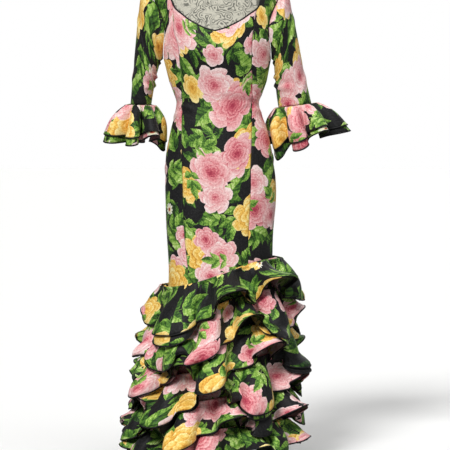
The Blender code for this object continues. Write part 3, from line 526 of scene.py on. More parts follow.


def staggered(place, cell, turn, salt, reach):
    """One motif to each square of a half-drop repeat: the place is turned, cut in squares of
    that cell, and measured from a random middle in units of a random radius up to reach."""
    spun = place.node("VectorRotate", {"rotation_type": "Z_AXIS"}, {"Vector": place, "Angle": turn})
    parts = spun.node("SeparateXYZ", {}, {0: spun})
    across = parts / cell
    tier = across.maths("FLOOR")
    up = parts.out("Y") / cell + tier.maths("MODULO", 2.0) * 0.5
    row = up.maths("FLOOR")
    square = place.node("CombineXYZ", {}, {0: tier + salt, 1: row})
    dice = place.node("TexWhiteNoise", {"noise_dimensions": "2D"}, {"Vector": square}, "Color")
    throws = place.node("SeparateColor", {}, {0: dice})
    radius = throws.out("Blue").ramp(0.0, 1.0, 0.74, 1.0) * (reach / cell)
    slack = 1.0 - 2.0 * radius
    x = (across - tier - 0.5 - (throws - 0.5) * slack) / radius
    y = (up - row - 0.5 - (throws.out("Green") - 0.5) * slack) / radius
    return x, y, dice.out("Value")


def swung(x, y, angle):
    """The same place measured on axes that are turned by that angle, a number or a wire."""
    if isinstance(angle, Wire):
        cosine, sine = angle.maths("COSINE"), angle.maths("SINE")
    else:
        cosine, sine = math.cos(angle), math.sin(angle)
    return x.maths("MULTIPLY_ADD", cosine, y * sine), y.maths("MULTIPLY_ADD", cosine, x * sine * -1.0)


def rose(x, y, chance, rings):
    """A rose of radius 1: rings of petals about its middle. A petal is widest at its own middle,
    darker at its root and where the next one laps over it, and lightest at its rim. Returns its
    mask and its light."""
    out = (x * x + y * y).maths("SQRT")
    swirl = out.maths("MULTIPLY_ADD", 4.0, chance * 9.0).maths("SINE")
    turn = swirl.maths("MULTIPLY_ADD", 0.035, chance + y.maths("ARCTAN2", x) / (2 * math.pi))
    lot = chance * 90.0
    edge, light = 0.0, None
    for size, petals, start, root, rim in rings:
        at = turn.maths("MULTIPLY_ADD", float(petals), start)
        lap = at.maths("FRACT")
        which = at.maths("FLOOR").maths("FLOORED_MODULO", float(petals))
        luck = which.maths("MULTIPLY_ADD", 5.3, lot + 7.0 * size).maths("SINE")
        aside = (lap - 0.5).maths("ABSOLUTE") ** 2.4
        rounded = aside.maths("MULTIPLY_ADD", -1.3 * size, 0.99 * size)
        outer = luck.maths("MULTIPLY_ADD", 0.05 * size, rounded)
        grown = out.ramp(edge, outer, root, rim)
        petal = luck.maths("MULTIPLY_ADD", 0.08, grown) - lap.ramp(0.24, 0.0, 0.0, 0.26 * size)
        if light is None:
            light = petal
        else:
            light = x.node("Mix", {}, {0: out.maths("LESS_THAN", edge), 2: petal, 3: light})
        edge = outer
    return out.maths("LESS_THAN", edge), light


def bunched(x, y, chance):
    """The place inside the nearest rose of a bunch, as a share of that rose's size, and the
    rose's own chance."""
    near = None
    for k, (aside, up, size) in enumerate(BUNCH):
        u, v = (x - aside) / size, (y - up) / size
        away = u * u + v * v
        if near is None:
            near, best_u, best_v, own = away, u, v, 0.31 * k
            continue
        nearer = away.maths("LESS_THAN", near)
        near = near.maths("MINIMUM", away)
        best_u, best_v, own = (
            x.node("Mix", {}, {0: nearer, 2: old, 3: new})
            for old, new in ((best_u, u), (best_v, v), (own, 0.31 * k))
        )
    return best_u, best_v, chance.maths("MULTIPLY_ADD", 3.7, own).maths("FRACT")


def leaf(x, y, long, wide):
    """A leaf from the origin along +X: pointed at its tip, toothed, with a pale midrib, side
    veins that run forward and one half more lit than the other. Returns its mask and light."""
    along = x.ramp(0.0, long)
    off = y.maths("ABSOLUTE")
    half = ((along ** 0.75) * math.pi).maths("SINE") * along.ramp(0.0, 1.0, wide, 0.75 * wide)
    forward = off.maths("MULTIPLY_ADD", -0.9 / long, along)
    teeth = (forward * 40.0).maths("SINE").maths("MULTIPLY_ADD", 0.045, 1.0)
    vein = (forward * 30.0).maths("SINE").ramp(0.2, 1.0, 0.0, -0.16)
    rib = off.ramp(0.006, 0.024, 0.16, 0.0)
    lit = y.ramp(-0.05, 0.05, -0.13, 0.17) + off.ramp(0.2 * wide, 0.9 * wide, 0.0, 0.10)
    return off.maths("LESS_THAN", half * teeth), lit + vein + rib


def sprig(x, y, chance):
    """A stalk of five leaflets in a motif of radius 1. Returns its mask and light."""
    x, y = swung(x, y, chance * 40.0)
    off = y.maths("ABSOLUTE")
    mask = off.maths("LESS_THAN", 0.014) * (x + 0.35).maths("ABSOLUTE").maths("LESS_THAN", 0.5)
    light = mask * 0.1
    for root, lean, long, wide in SPRIG:
        u, v = swung(x - root, off if lean else y, lean)
        here, shade = leaf(u, v, long, wide)
        light = x.node("Mix", {}, {0: here, 2: light, 3: shade})
        mask = mask.maths("MAXIMUM", here)
    return mask, light


def flower_print():
    """Layers of the print on cloth measured in metres, the upper ones covering the lower."""
    made, shader, flat = new_finish(
        "printed_cloth", "cloth", Sheen_Weight=0.04, Specular_IOR_Level=0.22)
    drift = flat.noise(38.0, output="Color")
    centred = flat.node("VectorMath", {"operation": "SUBTRACT"}, {0: drift, 1: (0.5, 0.5, 0.5)})
    bent = flat.node(
        "VectorMath", {"operation": "MULTIPLY_ADD"}, {0: centred, 1: (0.014, 0.014, 0.0), 2: flat})
    brush = flat.noise(190.0, 3.0, Roughness=0.62)
    touch = brush.ramp(0.30, 0.70, -0.15, 0.15)
    wash = flat.noise(26.0).ramp(0.3, 0.7, -0.20, 0.20)

    colour = brush.tinted((0.42, GROUND), (0.75, GROUND_WORN))
    for cell, turn, salt, reach, tone in (
        (0.124, 0.35, 4.0, 0.065, 0.33), (0.140, 1.20, 17.0, 0.077, 0.47),
    ):
        x, y, chance = staggered(bent, cell, turn, salt, reach)
        mask, light = sprig(x, y, chance)
        colour = (light * 1.25 + touch + wash + tone).tinted(*LEAF_GREENS).over(mask, colour)

    x, y, chance = staggered(bent, 0.112, 0.72, 23.0, 0.058)
    x, y = swung(x, y, chance * 50.0)
    mask, light = leaf(x + 0.9, y, 1.8, 0.52)
    big = (light * 1.25 + touch + wash + 0.50).tinted(*LEAF_GREENS)
    colour = big.over(mask * chance.maths("LESS_THAN", 0.86), colour)

    x, y, chance = staggered(bent, 0.130, 0.55, 11.0, 0.042)
    mask, light = rose(x, y, chance, BUD_RINGS)
    shade = light + touch
    small = shade.tinted(*ROSE_YELLOWS).over(
        chance.maths("GREATER_THAN", 0.30), shade.tinted(*ROSE_PINKS))
    colour = small.over(mask * chance.maths("LESS_THAN", 0.44), colour)

    x, y, chance = staggered(bent, 0.190, 1.02, 41.0, 0.072)
    mask, light = rose(x, y, chance, GOLD_RINGS)
    gold = (light + touch * 1.6 + wash).tinted(*ROSE_YELLOWS)
    colour = gold.over(mask * chance.maths("LESS_THAN", 0.52), colour)

    x, y, chance = staggered(bent, 0.262, 0.18, 3.0, 0.128)
    x, y = swung(x, y, chance * 25.0)
    u, v, own = bunched(x, y, chance)
    mask, light = rose(u, v, own, ROSE_RINGS)
    pink = (light + touch + wash * 0.45 - own.ramp(0.50, 0.56, 0.0, 0.22)).tinted(*ROSE_PINKS)
    colour = pink.over(mask * chance.maths("LESS_THAN", 0.74), colour)

    x, y, chance = staggered(bent, 0.120, 1.31, 53.0, 0.052)
    mask, light = sprig(x, y, chance)
    colour = (light + touch + wash + 0.60).tinted(*LEAF_GREENS).over(
        mask * chance.maths("LESS_THAN", 0.42), colour)

    x, y, chance = staggered(bent, 0.150, 1.05, 29.0, 0.022)
    out = (x * x + y * y).maths("SQRT")
    rays = (y.maths("ARCTAN2", x) * 5.0).maths("SINE").maths("ABSOLUTE") ** 0.5
    mask = (rays * 0.55 + 0.45 - out).ramp(0.0, 0.06) * chance.maths("LESS_THAN", 0.26)
    white = (out.ramp(0.2, 0.9) + touch).tinted(*DAISY)
    daisy = flat.plain(DAISY_HEART).over((0.27 - out).ramp(0.0, 0.05), white)
    colour = daisy.over(mask, colour)

    strength = brush.ramp(0.25, 0.75, 0.80, 1.14) * INKED
    strength.socket.node.name = "strength"
    feed(shader, "Base Color", colour.shaded(strength))
    feed(shader, "Roughness", brush.ramp(0.2, 0.8, 0.52, 0.66))
    threads = flat.node("VectorMath", {"operation": "SCALE"}, {0: flat, "Scale": 2 * math.pi / WEAVE})
    sides = flat.node("SeparateXYZ", {}, {0: threads})
    weave = sides.maths("SINE") * sides.out("Y").maths("SINE")
    feed(shader, "Normal", (weave * 0.25 + brush).bumps(0.30, 0.0006))
    return made


def print_from_behind_with_painted_shade(printed):
    """The cloth's wrong side, where the ink has only struck through, darkened as painted shade."""
    made = printed.copy()
    made.name = "printed_cloth_wrong_side"
    made.node_tree.nodes["strength"].inputs[1].default_value = STRUCK_THROUGH_AND_PAINTED_SHADE
    return made


printed_side = flower_print()
# the wrong side is darkened as painted shade, so that the hollows under the flounces look dark
wrong_side_painted_shade = print_from_behind_with_painted_shade(printed_side)


def seam_at(table, at):
    """The second column of a table of two, at these values of the first."""
    return smooth_curve([row[0] for row in table], [row[1] for row in table], at)


def angle_of(x, z, back=0):
    """Angle at which the figure is x from its middle at that height: at the front, or at the
    back's right (-1) or left (1)."""
    theta = np.arcsin(np.clip(x / column("half_width", z), -1, 1))
    return back * math.pi - theta if back else theta


def armhole_levels(steps):
    """Heights from the armpit to the shoulder tip, closer together at both ends."""
    turn = np.linspace(math.pi, 0, steps + 1)
    return ARMPIT_Z + (SHOULDER_TIP_Z - ARMPIT_Z) * (1 + np.cos(turn)) / 2


def armhole_angle(z, cut):
    """Angle of the armhole's edge; cut is how far it bends in from the side."""
    share = np.clip((z - ARMPIT_Z) / (SHOULDER_TIP_Z - ARMPIT_Z), 0, 1)
    return math.pi / 2 - cut * np.sin(math.pi * share) ** 0.8


def inner_levels(meeting):
    """Heights up a princess seam to where it meets the neckline, then along the neckline."""
    low = np.linspace(PANEL_HEM_Z, BUST_LEVEL_Z, LOW_ROWS)
    half = HIGH_ROWS // 2
    seam = np.linspace(BUST_LEVEL_Z, meeting, half + 1)[1:]
    shares = smooth_curve(range(6), NECK_SHARES, np.linspace(0, 5, half + 1))[1:]
    return np.concatenate([low, seam, meeting + (NECK_POINT_Z - meeting) * shares])


def side_panel(seam, neck, side, back):
    """Angles and heights of a panel from its princess seam out to the side and the armhole."""
    meeting = seam[-1][0]
    z_in = inner_levels(meeting)
    low = np.linspace(PANEL_HEM_Z, BUST_LEVEL_Z, LOW_ROWS)
    z_out = np.concatenate([low, armhole_levels(HIGH_ROWS - 1)])
    half = np.where(z_in <= meeting, np.abs(seam_at(seam, z_in)), seam_at(neck, z_in))
    outer = armhole_angle(z_out, ARMHOLE_BACK if back else ARMHOLE_FRONT)
    outer_half = column("half_width", z_out) * np.sin(outer)
    share = np.linspace(0, 1, SIDE_COLUMNS + 1)
    z = z_in[:, None] + (z_out - z_in)[:, None] * share
    inner = angle_of(half, z_in)
    theta = inner[:, None] + (outer - inner)[:, None] * share
    across = half[:, None] + (outer_half - half)[:, None] * share
    upper = np.clip((np.arange(len(z_in)) - LOW_ROWS) / JOIN_ROWS, 0, 1)[:, None]
    upper = upper * np.clip((len(z_in) - 1 - np.arange(len(z_in))) / TIP_ROWS, 0, 1)[:, None]
    theta[:, 1:-1] = (theta * (1 - upper) + angle_of(across, z) * upper)[:, 1:-1]
    theta[-1] = math.pi / 2
    theta = side * (math.pi - theta if back else theta)
    if (side < 0) != back:
        return theta[:, ::-1], z[:, ::-1]
    return theta, z


def centre_panel(low_end, high_end, columns, seams, neck, back):
    """Angles and heights of a panel between two sewing lines, its top edge on the neckline."""
    share = np.linspace(0, 1, columns + 1)
    low_seam, high_seam = seams
    top_x = low_end[1] + (high_end[1] - low_end[1]) * share
    rows = [row for row in neck if row[0] <= max(low_end[0], high_end[0])]
    top_z = smooth_curve([row[1] for row in rows], [row[0] for row in rows], np.abs(top_x))
    climb = np.linspace(0, 1, LOW_ROWS + HIGH_ROWS // 2)[:, None]
    z = PANEL_HEM_Z + (top_z - PANEL_HEM_Z) * climb
    x = low_seam(z) * (1 - share) + high_seam(z) * share
    theta = angle_of(x, z, back)
    if back:
        return theta[:, ::-1], z[:, ::-1]
    return theta, z


def creases(theta, z):
    """How far the cloth stands off in its creases: each is a bell across its line that fades
    to its ends, with a shallow furrow beside it; soft ripples run between them."""
    angle, height, lean, half_length, width, rise = np.array(CREASES, float).T
    turned = (theta[..., None] - np.radians(angle) + math.pi) % (2 * math.pi) - math.pi
    aside = turned * BODY_RADIUS
    up = z[..., None] - height
    tilt = np.radians(lean)
    along = aside * np.cos(tilt) + up * np.sin(tilt)
    off = up * np.cos(tilt) - aside * np.sin(tilt) + along**2 / half_length * 0.18
    fade = np.clip(1 - (along / half_length) ** 2, 0, 1) ** 1.5
    fold = np.exp(-((off / width) ** 2)) - 0.45 * np.exp(-(((off + 1.9 * width) / (1.3 * width)) ** 2))
    ripple = np.sin(theta * 7 + 3 * np.sin(z * 11)) * np.sin(z * 31 + 2 * np.cos(theta * 3))
    return (rise * fade * fold).sum(axis=-1) + RIPPLE * ripple


def inset_edges(grid, left=0.0, right=0.0, bottom=0.0, top=0.0):
    """Draws the borders of a grid inwards by these distances, along the surface."""
    grid = grid.copy()
    grid[:, 0] += unit(grid[:, 1] - grid[:, 0]) * left
    grid[:, -1] += unit(grid[:, -2] - grid[:, -1]) * right
    grid[0] += unit(grid[1] - grid[0]) * bottom
    grid[-1] += unit(grid[-2] - grid[-1]) * top
    return grid


def wall(obj, thick=CLOTH):
    """Gives a piece of cloth its thickness: printed outside, the wrong side darkened as painted shade
    inside.
    """
    for side in (printed_side, wrong_side_painted_shade):
        obj.data.materials.append(side)
    made = obj.modifiers.new("wall", "SOLIDIFY")
    made.thickness = thick
    made.offset = 1.0
    made.material_offset = 1
    made.material_offset_rim = 0


def cut_of(grid, ring=False):
    """Running lengths of a piece's longest row and of its longest column, and its area, the sum
    of half the cross products of its quads' diagonals."""
    whole = np.concatenate([grid, grid[:, :1]], axis=1) if ring else grid
    one, two = whole[1:, 1:] - whole[:-1, :-1], whole[1:, :-1] - whole[:-1, 1:]
    area = 0.5 * np.linalg.norm(np.cross(one, two), axis=-1).sum()
    return (float(lengths(whole, 1)[:, -1].max()), float(lengths(whole, 0)[-1].max())), float(area)


def body_panel(name, theta, z, at, top=0.0):
    """A panel laid on the figure, with its creases, and drawn in beside its seams by a bell of
    the distance to them."""
    grid = on_figure(theta, z, creases(theta, z))
    edges = np.minimum(lengths(grid, 1), lengths(grid, 1)[:, -1:] - lengths(grid, 1))
    pinch = -PUCKER * np.exp(-((edges / PUCKER_WIDTH) ** 2))
    pinch *= 1 + 0.5 * np.sin(z * 240 + theta * 5)
    grid = on_figure(theta, z, creases(theta, z) + pinch)
    grid = inset_edges(grid, HALF_GAP, HALF_GAP, HALF_GAP, top)
    obj = grid_mesh(name + "_cloth", grid, at=at)
    wall(obj)
    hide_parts(name)
    flat, area = cut_of(grid)


front_panel = centre_panel(
    FRONT_LEFT_SEAM[-1], FRONT_RIGHT_SEAM[-1], 48,
    (lambda z: seam_at(FRONT_LEFT_SEAM, z), lambda z: seam_at(FRONT_RIGHT_SEAM, z)), FRONT_NECK, 0,
)
back_end = BACK_SEAM[-1]
neck_middle = (BACK_NECK[0][0], 0.0)
back_right_centre = centre_panel(
    (back_end[0], -back_end[1]), neck_middle, 20,
    (lambda z: -seam_at(BACK_SEAM, z), lambda z: 0 * z), BACK_NECK, -1,
)
back_left_centre = centre_panel(
    neck_middle, back_end, 20,
    (lambda z: 0 * z, lambda z: seam_at(BACK_SEAM, z)), BACK_NECK, 1,
)
body_panel("front_centre_panel", *front_panel, (2.62, 3.10))
body_panel("back_centre_right_panel", *back_right_centre, (4.31, 3.33))
body_panel("back_centre_left_panel", *back_left_centre, (4.93, 3.71))
front_right_side = side_panel(FRONT_LEFT_SEAM, FRONT_NECK, -1, False)
front_left_side = side_panel(FRONT_RIGHT_SEAM, FRONT_NECK, 1, False)
back_right_side = side_panel(BACK_SEAM, BACK_NECK, -1, True)
back_left_side = side_panel(BACK_SEAM, BACK_NECK, 1, True)
body_panel("front_right_panel", *front_right_side, (1.17, 3.44), HALF_GAP)
body_panel("front_left_panel", *front_left_side, (1.83, 2.95), HALF_GAP)
body_panel("back_right_panel", *back_right_side, (5.57, 3.02), HALF_GAP)
body_panel("back_left_panel", *back_left_side, (6.21, 3.39), HALF_GAP)

# ================================================================ the zip
# A concealed zip in the centre back seam, of which only the nickel slider and its hinged pull
# tab show; both are die-cast and barrel-plated dark, bright where they are rubbed.

PLATED_DARK = (0.075, 0.072, 0.070)
PLATED_BRIGHT = (0.30, 0.29, 0.28)
zip_finish = rubbed_metal(
    "zip_metal", 0.9, 240.0, ((0.42, PLATED_DARK), (0.72, PLATED_BRIGHT)), (0.42, 0.26), 2600.0, 0.0001)
for zip_node in ("zip_slider", "zip_pull_tab"):
    for zip_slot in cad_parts[zip_node].material_slots:
        zip_slot.material = zip_finish

# ================================================================ the foundation skirt
# The flared underskirt that the panels are sewn to and that carries the lower flounces, a
# front and a back half in the same print.

HEM_Z = 0.070
SKIRT_ROWS = 40
SKIRT_POINTS = 61
skirt_levels = np.linspace(HEM_Z, PANEL_HEM_Z, SKIRT_ROWS)
for skirt_name, skirt_start, skirt_at in (
    ("skirt_front", -math.pi / 2, (7.1, 1.2)), ("skirt_back", math.pi / 2, (8.2, 1.2)),
):
    skirt_theta = skirt_start + np.linspace(0, math.pi, SKIRT_POINTS)
    skirt_grid = inset_edges(
        figure(skirt_theta[None, :], skirt_levels[:, None]),
        HALF_GAP, HALF_GAP, 0.0, HALF_GAP,
    )
    skirt_half = grid_mesh(skirt_name + "_cloth", skirt_grid, at=skirt_at)
    wall(skirt_half)
    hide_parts(skirt_name)
    skirt_flat, skirt_area = cut_of(skirt_grid)

# ================================================================ the skirt flounces
# Six circular-cut flounces, gathered into their sewing lines round the skirt, each with a
# second layer inside, whose hem shows below the first one's at the folds and at a few lobes.
# Every hem is bound with a narrow black bias.

# One row to a flounce, the top one first: the heights of its seam on the wearer's right and
# left, its length, how far its hem stands off, and how far its lobes wave out and in of that.
FLOUNCES = (
    (0.556, 0.645, 0.128, 0.055, 0.047),
    (0.468, 0.555, 0.132, 0.052, 0.046),
    (0.376, 0.455, 0.126, 0.052, 0.046),
    (0.284, 0.352, 0.120, 0.051, 0.046),
    (0.196, 0.246, 0.106, 0.050, 0.044),
    (0.118, 0.138, 0.082, 0.050, 0.038),
)
# The lobes round each flounce: where each crest stands in degrees from the front, how far it
# reaches and falls, both as shares of the usual, how far the hem rolls out (or in, below 0), how
# many degrees it swings aside, and the under layer's length there as a share of the usual.
LOBE_COLUMNS = ("reach", "fall", "roll", "swing", "under")  # after its angle
LOBES = (
    (
        (-34, 1.20, 1.18, -0.10, -3, 1.18), (3, 0.95, 0.45, 0.20, 6, 0.95),
        (42, 1.40, 0.28, 0.00, 10, 0.95), (82, 0.95, 1.05, -0.14, -4, 0.95),
        (127, 0.95, 1.25, -0.10, 5, 1.10), (168, 1.15, 0.50, 0.30, -6, 0.95),
        (210, 0.95, 1.20, -0.14, 4, 1.08), (254, 0.40, 0.55, 0.20, -8, 0.95),
    ),
    (
        (-44, 0.98, 1.32, -0.17, 3, 0.95), (-6, 1.00, 1.22, -0.10, -4, 0.95),
        (20, 1.10, 0.40, 0.20, 6, 0.95), (54, 1.20, 1.12, -0.14, -3, 1.10),
        (90, 0.66, 0.50, 0.20, 5, 0.95), (124, 0.88, 1.30, -0.10, -5, 0.95),
        (161, 1.15, 0.50, 0.30, 4, 0.95), (198, 0.95, 1.30, -0.14, -4, 1.06),
        (236, 0.97, 0.60, 0.20, 6, 0.95), (272, 0.27, 1.00, -0.09, -8, 0.95),
    ),
    (
        (-84, 0.55, 0.70, 0.20, 6, 0.95), (-58, 0.84, 1.30, -0.17, -4, 0.95),
        (-29, 1.15, 0.48, 0.15, 5, 0.95), (-3, 1.00, 1.32, -0.10, -3, 0.95),
        (38, 1.35, 0.42, 0.10, 3, 0.95), (74, 0.78, 1.20, -0.10, -5, 1.08),
        (105, 0.70, 0.55, 0.30, 4, 0.95), (139, 1.00, 1.30, -0.14, 5, 0.95),
        (174, 1.15, 0.55, 0.30, -4, 0.95), (209, 1.00, 1.30, -0.10, 4, 1.06),
        (245, 0.88, 0.60, 0.25, -5, 0.95),
    ),
    (
        (-98, 0.47, 1.10, -0.09, -4, 0.95), (-66, 0.75, 0.50, 0.20, 5, 0.95),
        (-36, 1.05, 1.30, -0.10, -4, 0.95), (-8, 1.10, 0.45, 0.20, 6, 0.95),
        (34, 1.30, 1.40, -0.17, -3, 1.06), (71, 0.90, 0.50, 0.20, 5, 0.95),
        (102, 0.78, 1.30, -0.10, -4, 0.95), (135, 1.15, 0.55, 0.30, -5, 0.95),
        (171, 1.00, 1.32, -0.14, 4, 1.05), (207, 1.15, 0.55, 0.25, -4, 0.95),
        (237, 0.84, 1.30, -0.10, 5, 0.95),
    ),
    (
        (-78, 0.82, 1.20, -0.05, -5, 0.95), (-49, 1.10, 0.50, 0.20, 4, 0.95),
        (-21, 1.00, 1.32, -0.10, -4, 0.95), (8, 1.10, 0.50, 0.20, 6, 0.95),
        (37, 1.00, 1.25, -0.10, -4, 0.95), (65, 1.01, 0.50, 0.20, 4, 0.95),
        (93, 0.78, 1.25, -0.10, -4, 0.95), (125, 1.15, 0.55, 0.30, 5, 0.95),
        (158, 1.00, 1.30, -0.14, -5, 1.05), (192, 1.15, 0.60, 0.25, 4, 0.95),
        (226, 1.00, 1.25, -0.10, -4, 0.95), (254, 0.86, 0.65, 0.25, 5, 0.95),
    ),
    (
        (-88, 0.82, 0.80, 0.25, 4, 0.95), (-58, 0.92, 1.16, -0.10, -5, 0.95),
        (-30, 1.10, 0.70, 0.30, 4, 0.95), (-3, 0.95, 1.18, -0.10, -4, 0.95),
        (25, 1.10, 0.70, 0.30, 5, 0.95), (53, 1.00, 1.16, -0.10, -4, 0.95),
        (81, 0.86, 0.75, 0.25, 4, 0.95), (111, 0.78, 1.16, -0.10, -5, 0.95),
        (142, 1.10, 0.75, 0.25, 4, 0.95), (174, 0.95, 1.16, -0.10, 4, 0.95),
        (206, 1.10, 0.75, 0.25, -4, 0.95), (238, 0.88, 1.16, -0.10, 5, 0.95),
    ),
)
LIFT = 0.0012  # parting between a flounce and the panels that it lies on
SKIRT_LIFT = 0.0008  # the same on the foundation skirt
CREST_SPREAD = 0.50  # widens the crests and narrows the folds between them
LOBE_BULGE = 0.48  # how far a lobe overhangs its neck
GRADUAL = 1.80  # how soon a flounce stands off
LOBES_OPEN = 1.05  # over 1 keeps the lobes narrow near the seam
PUFF = 0.010  # how far a crest swells at mid length
PLUMB = 1.35  # over 1 keeps a flounce's top nearly level
DROOP = 0.02  # how much further the crests hang than the folds
SWING_LATE = 1.5  # over 1 keeps a lobe's swing aside near its hem
LAYER_CLOTH = 0.0011  # wall of one layer
LAYER_PARTING = 0.0046  # between the two layers at the hem
PARTED_FROM = 1 / 2.2  # share of the length at which they are fully parted
UPPER_LENGTH = 0.97  # the upper layer's length as a share of the flounce's
FLOUNCE_POINTS = 44  # columns to a lobe
FLOUNCE_ROWS = 20
GATHERS = 9  # small pleats to a lobe at the sewing line
GATHER_RISE = 0.0030
DENT = 0.0026
ROLL_FROM = 0.58  # share of its length at which a hem starts to roll
ROLL_MOST = 2.3  # radians that a hem with a roll of 1 turns through
HEM_WIDTH = 0.0052
HEM_THICK = 0.0026
PILE_TURNS = 1440  # the pile's columns round the dress
PILE_STEP = 0.00125  # from one of its heights to the next
PILE_LOW_Z = -0.05  # the heights between which cloth is piled up
PILE_HIGH_Z = 1.25
LYING_ON = 0.0046  # from the inside of one layer to the inside of the one that lies on it
YIELD = 0.0040  # over this depth a layer gives way to what it lies on
STEEPEST = 0.45  # cloth that is more edge-on than this is parted no further for it
BIAS_RIB = 0.0012
STITCH_PITCH = 0.0050
STITCH_ROW = 0.0032  # from the strip's first edge to the row
STITCH_WIDTH = 0.0007
BIAS_BLACK = (0.0035, 0.0035, 0.0040)
BIAS_EDGE = (0.012, 0.012, 0.013)


def between(before, here, after, beyond, t):
    """Catmull-Rom curve: the cubic that goes from here to after as t goes from 0 to 1, and at
    each of them runs parallel to the line between its two neighbours."""
    return 0.5 * (
        2 * here
        + (after - before) * t
        + (2 * before - 5 * here + 4 * after - beyond) * t**2
        + (3 * here - before - 3 * after + beyond) * t**3
    )


def round_table(turns, values, at):
    """Smooth closed curve through one value for each whole number, which grows by turns each
    time that it comes round."""
    count = len(values)
    base = np.floor(at).astype(int)
    rows = np.asarray(values, float)
    before, here, after, beyond = (rows[(base + k) % count] for k in (-1, 0, 1, 2))
    whole = (base // count) * turns
    before = before + whole - turns * (base % count == 0)
    here = here + whole
    after = after + whole + turns * (base % count == count - 1)
    beyond = beyond + whole + turns * (base % count >= count - 2)
    return between(before, here, after, beyond, at - base)


def lobe_curve(lobes, points):
    """The crest wave, a cosine with its crests at the table's angles, at each column round a
    flounce, and its table's smoothed values. The sway, a sine of the wave and one of twice the
    wave, draws the columns together where the cloth doubles back."""
    at = np.arange(len(lobes) * points) / points
    angles, *others = zip(*lobes)
    curve = {name: round_table(0.0, values, at) for name, values in zip(LOBE_COLUMNS, others)}
    curve["middle"] = np.radians(round_table(360.0, angles, at))
    nudge = 0.01
    pitch = np.radians(
        round_table(360.0, angles, at + nudge) - round_table(360.0, angles, at - nudge)
    ) / (2 * nudge)
    phase = 2 * math.pi * at
    sway = CREST_SPREAD * np.sin(phase) + LOBE_BULGE * np.sin(2 * phase)
    curve["sway"] = sway * pitch / (2 * math.pi)
    curve["crest"] = np.cos(phase)
    curve["at"] = at
    return curve


def stand_off(v, lead, wave, curve, gradual, opens):
    """How far a flounce stands off what it is sewn to, v being the share of its length: a lead
    that rises soon and then levels out, a wave that opens towards the hem, and a swell."""
    up = np.maximum(curve["crest"], 0)
    rising = 1 - np.maximum(1 - v, 0) ** gradual
    swell = PUFF * up * np.sin(math.pi * np.minimum(v, 1)) ** 1.5
    return lead * rising + wave * v**opens * (curve["crest"] + (curve["reach"] - 1) * up) + swell


def falls(v, length, curve):
    """How far down a flounce's point is from its seam: the length times a power of v, and more
    or less towards the hem; a lobe's own fall fades to nothing in the folds beside it."""
    share = 0.5 + 0.5 * curve["crest"]
    return length * v**PLUMB * (1 + v * (DROOP * curve["crest"] + (curve["fall"] - 1) * share))


def lobe_angles(v, curve, opens, overhang=1.0):
    """Angle of each point round a flounce: the sway opens with v, and the swing comes late."""
    sway = overhang * curve["sway"] * v**opens
    return curve["middle"] + sway + np.radians(curve["swing"]) * v**SWING_LATE


def rolled(v, length, curve):
    """How far the roll of the hem carries the cloth out and up: past ROLL_FROM the cloth bends
    into an arc, outwards where roll is over 0 and inwards below it."""
    bent = length * np.clip(v - ROLL_FROM, 0, None)
    turn = ROLL_MOST * curve["roll"] * np.clip(v - ROLL_FROM, 0, None) / (1 - ROLL_FROM)
    turn = np.where(np.abs(turn) < 1e-4, 1e-4, turn)
    return bent * (1 - np.cos(turn)) / turn, bent * (1 - np.sin(turn) / turn)


def normals_of(grid):
    """Unit normals of a closed grid with rows upwards and columns anticlockwise."""
    around = np.roll(grid, -1, axis=1) - np.roll(grid, 1, axis=1)
    return unit(np.cross(around, np.gradient(grid, axis=0)))


def crinkle(v, at, salt):
    """Small uneven folds of a flounce: gathers that die out below the seam, and soft dents
    that grow towards the hem."""
    uneven = 1.3 * np.sin(5.1 * at + salt) + 2.2 * np.sin(1.7 * at)
    gather = np.sin(2 * math.pi * GATHERS * at + uneven)
    pleats = GATHER_RISE * np.clip(v / 0.06, 0, 1) * np.exp(-((v / 0.42) ** 2)) * (0.6 + 0.4 * gather)
    dents = np.sin(2 * math.pi * 1.7 * at + 2.6 * np.sin(0.9 * at + salt) + 2.4 * v)
    dents = dents + 0.5 * np.sin(2 * math.pi * 3.7 * at + 1.7 * salt - 3.0 * v)
    return pleats + DENT * v**1.2 * dents


def black_bias():
    """Black cotton in fine ribs, with a row of small stitches along the strip."""
    made, shader, flat = new_finish("black_binding", "cloth", Specular_IOR_Level=0.25)
    along = flat.node("SeparateXYZ", {}, {0: flat})
    ribs = (along * (2 * math.pi / BIAS_RIB)).maths("SINE")
    dashes = (along * (2 * math.pi / STITCH_PITCH)).maths("SINE").ramp(-0.2, 0.2)
    row = (along.out("Y") - STITCH_ROW).maths("ABSOLUTE").ramp(0.0, STITCH_WIDTH, 1.0, 0.0)
    cloud = flat.noise(320.0, 3.0)
    feed(shader, "Base Color", cloud.tinted((0.40, BIAS_BLACK), (0.80, BIAS_EDGE)))
    feed(shader, "Roughness", cloud.ramp(0.3, 0.7, 0.42, 0.60))
    feed(shader, "Normal", (ribs * 0.3 + cloud - dashes * row * 2.0).bumps(0.3, 0.0003))
    return made


binding_cloth = black_bias()


def bound_edge(name, edge, down, normal, width=HEM_WIDTH, thick=HEM_THICK, replaced=()):
    """A folded strip round the edge of a cloth: an oval section carried along the edge, a
    quarter of its width up from it, wide along the cloth (down) and narrow through it (normal)."""
    turn = np.linspace(0, 2 * math.pi, 8, endpoint=False)
    rings = (
        edge[None] - down[None] * 0.25 * width
        + np.cos(turn)[:, None, None] * down[None] * width / 2
        + np.sin(turn)[:, None, None] * normal[None] * thick / 2
    )
    rings = np.concatenate([rings, rings[:1]])
    obj = grid_mesh(name, rings, ring=True)
    shape = bmesh.new()
    shape.from_mesh(obj.data)
    bmesh.ops.remove_doubles(shape, verts=shape.verts, dist=1e-6)
    bmesh.ops.recalc_face_normals(shape, faces=shape.faces)
    shape.to_mesh(obj.data)
    shape.free()
    obj.data.shade_smooth()
    obj.data.materials.append(binding_cloth)
    if replaced:
        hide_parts(*replaced)
    return obj


def round_axis(points):
    """Angle from the front and distance of each point from the upright middle of the dress."""
    return np.arctan2(points[..., 0], -points[..., 1]), np.hypot(points[..., 0], points[..., 1])


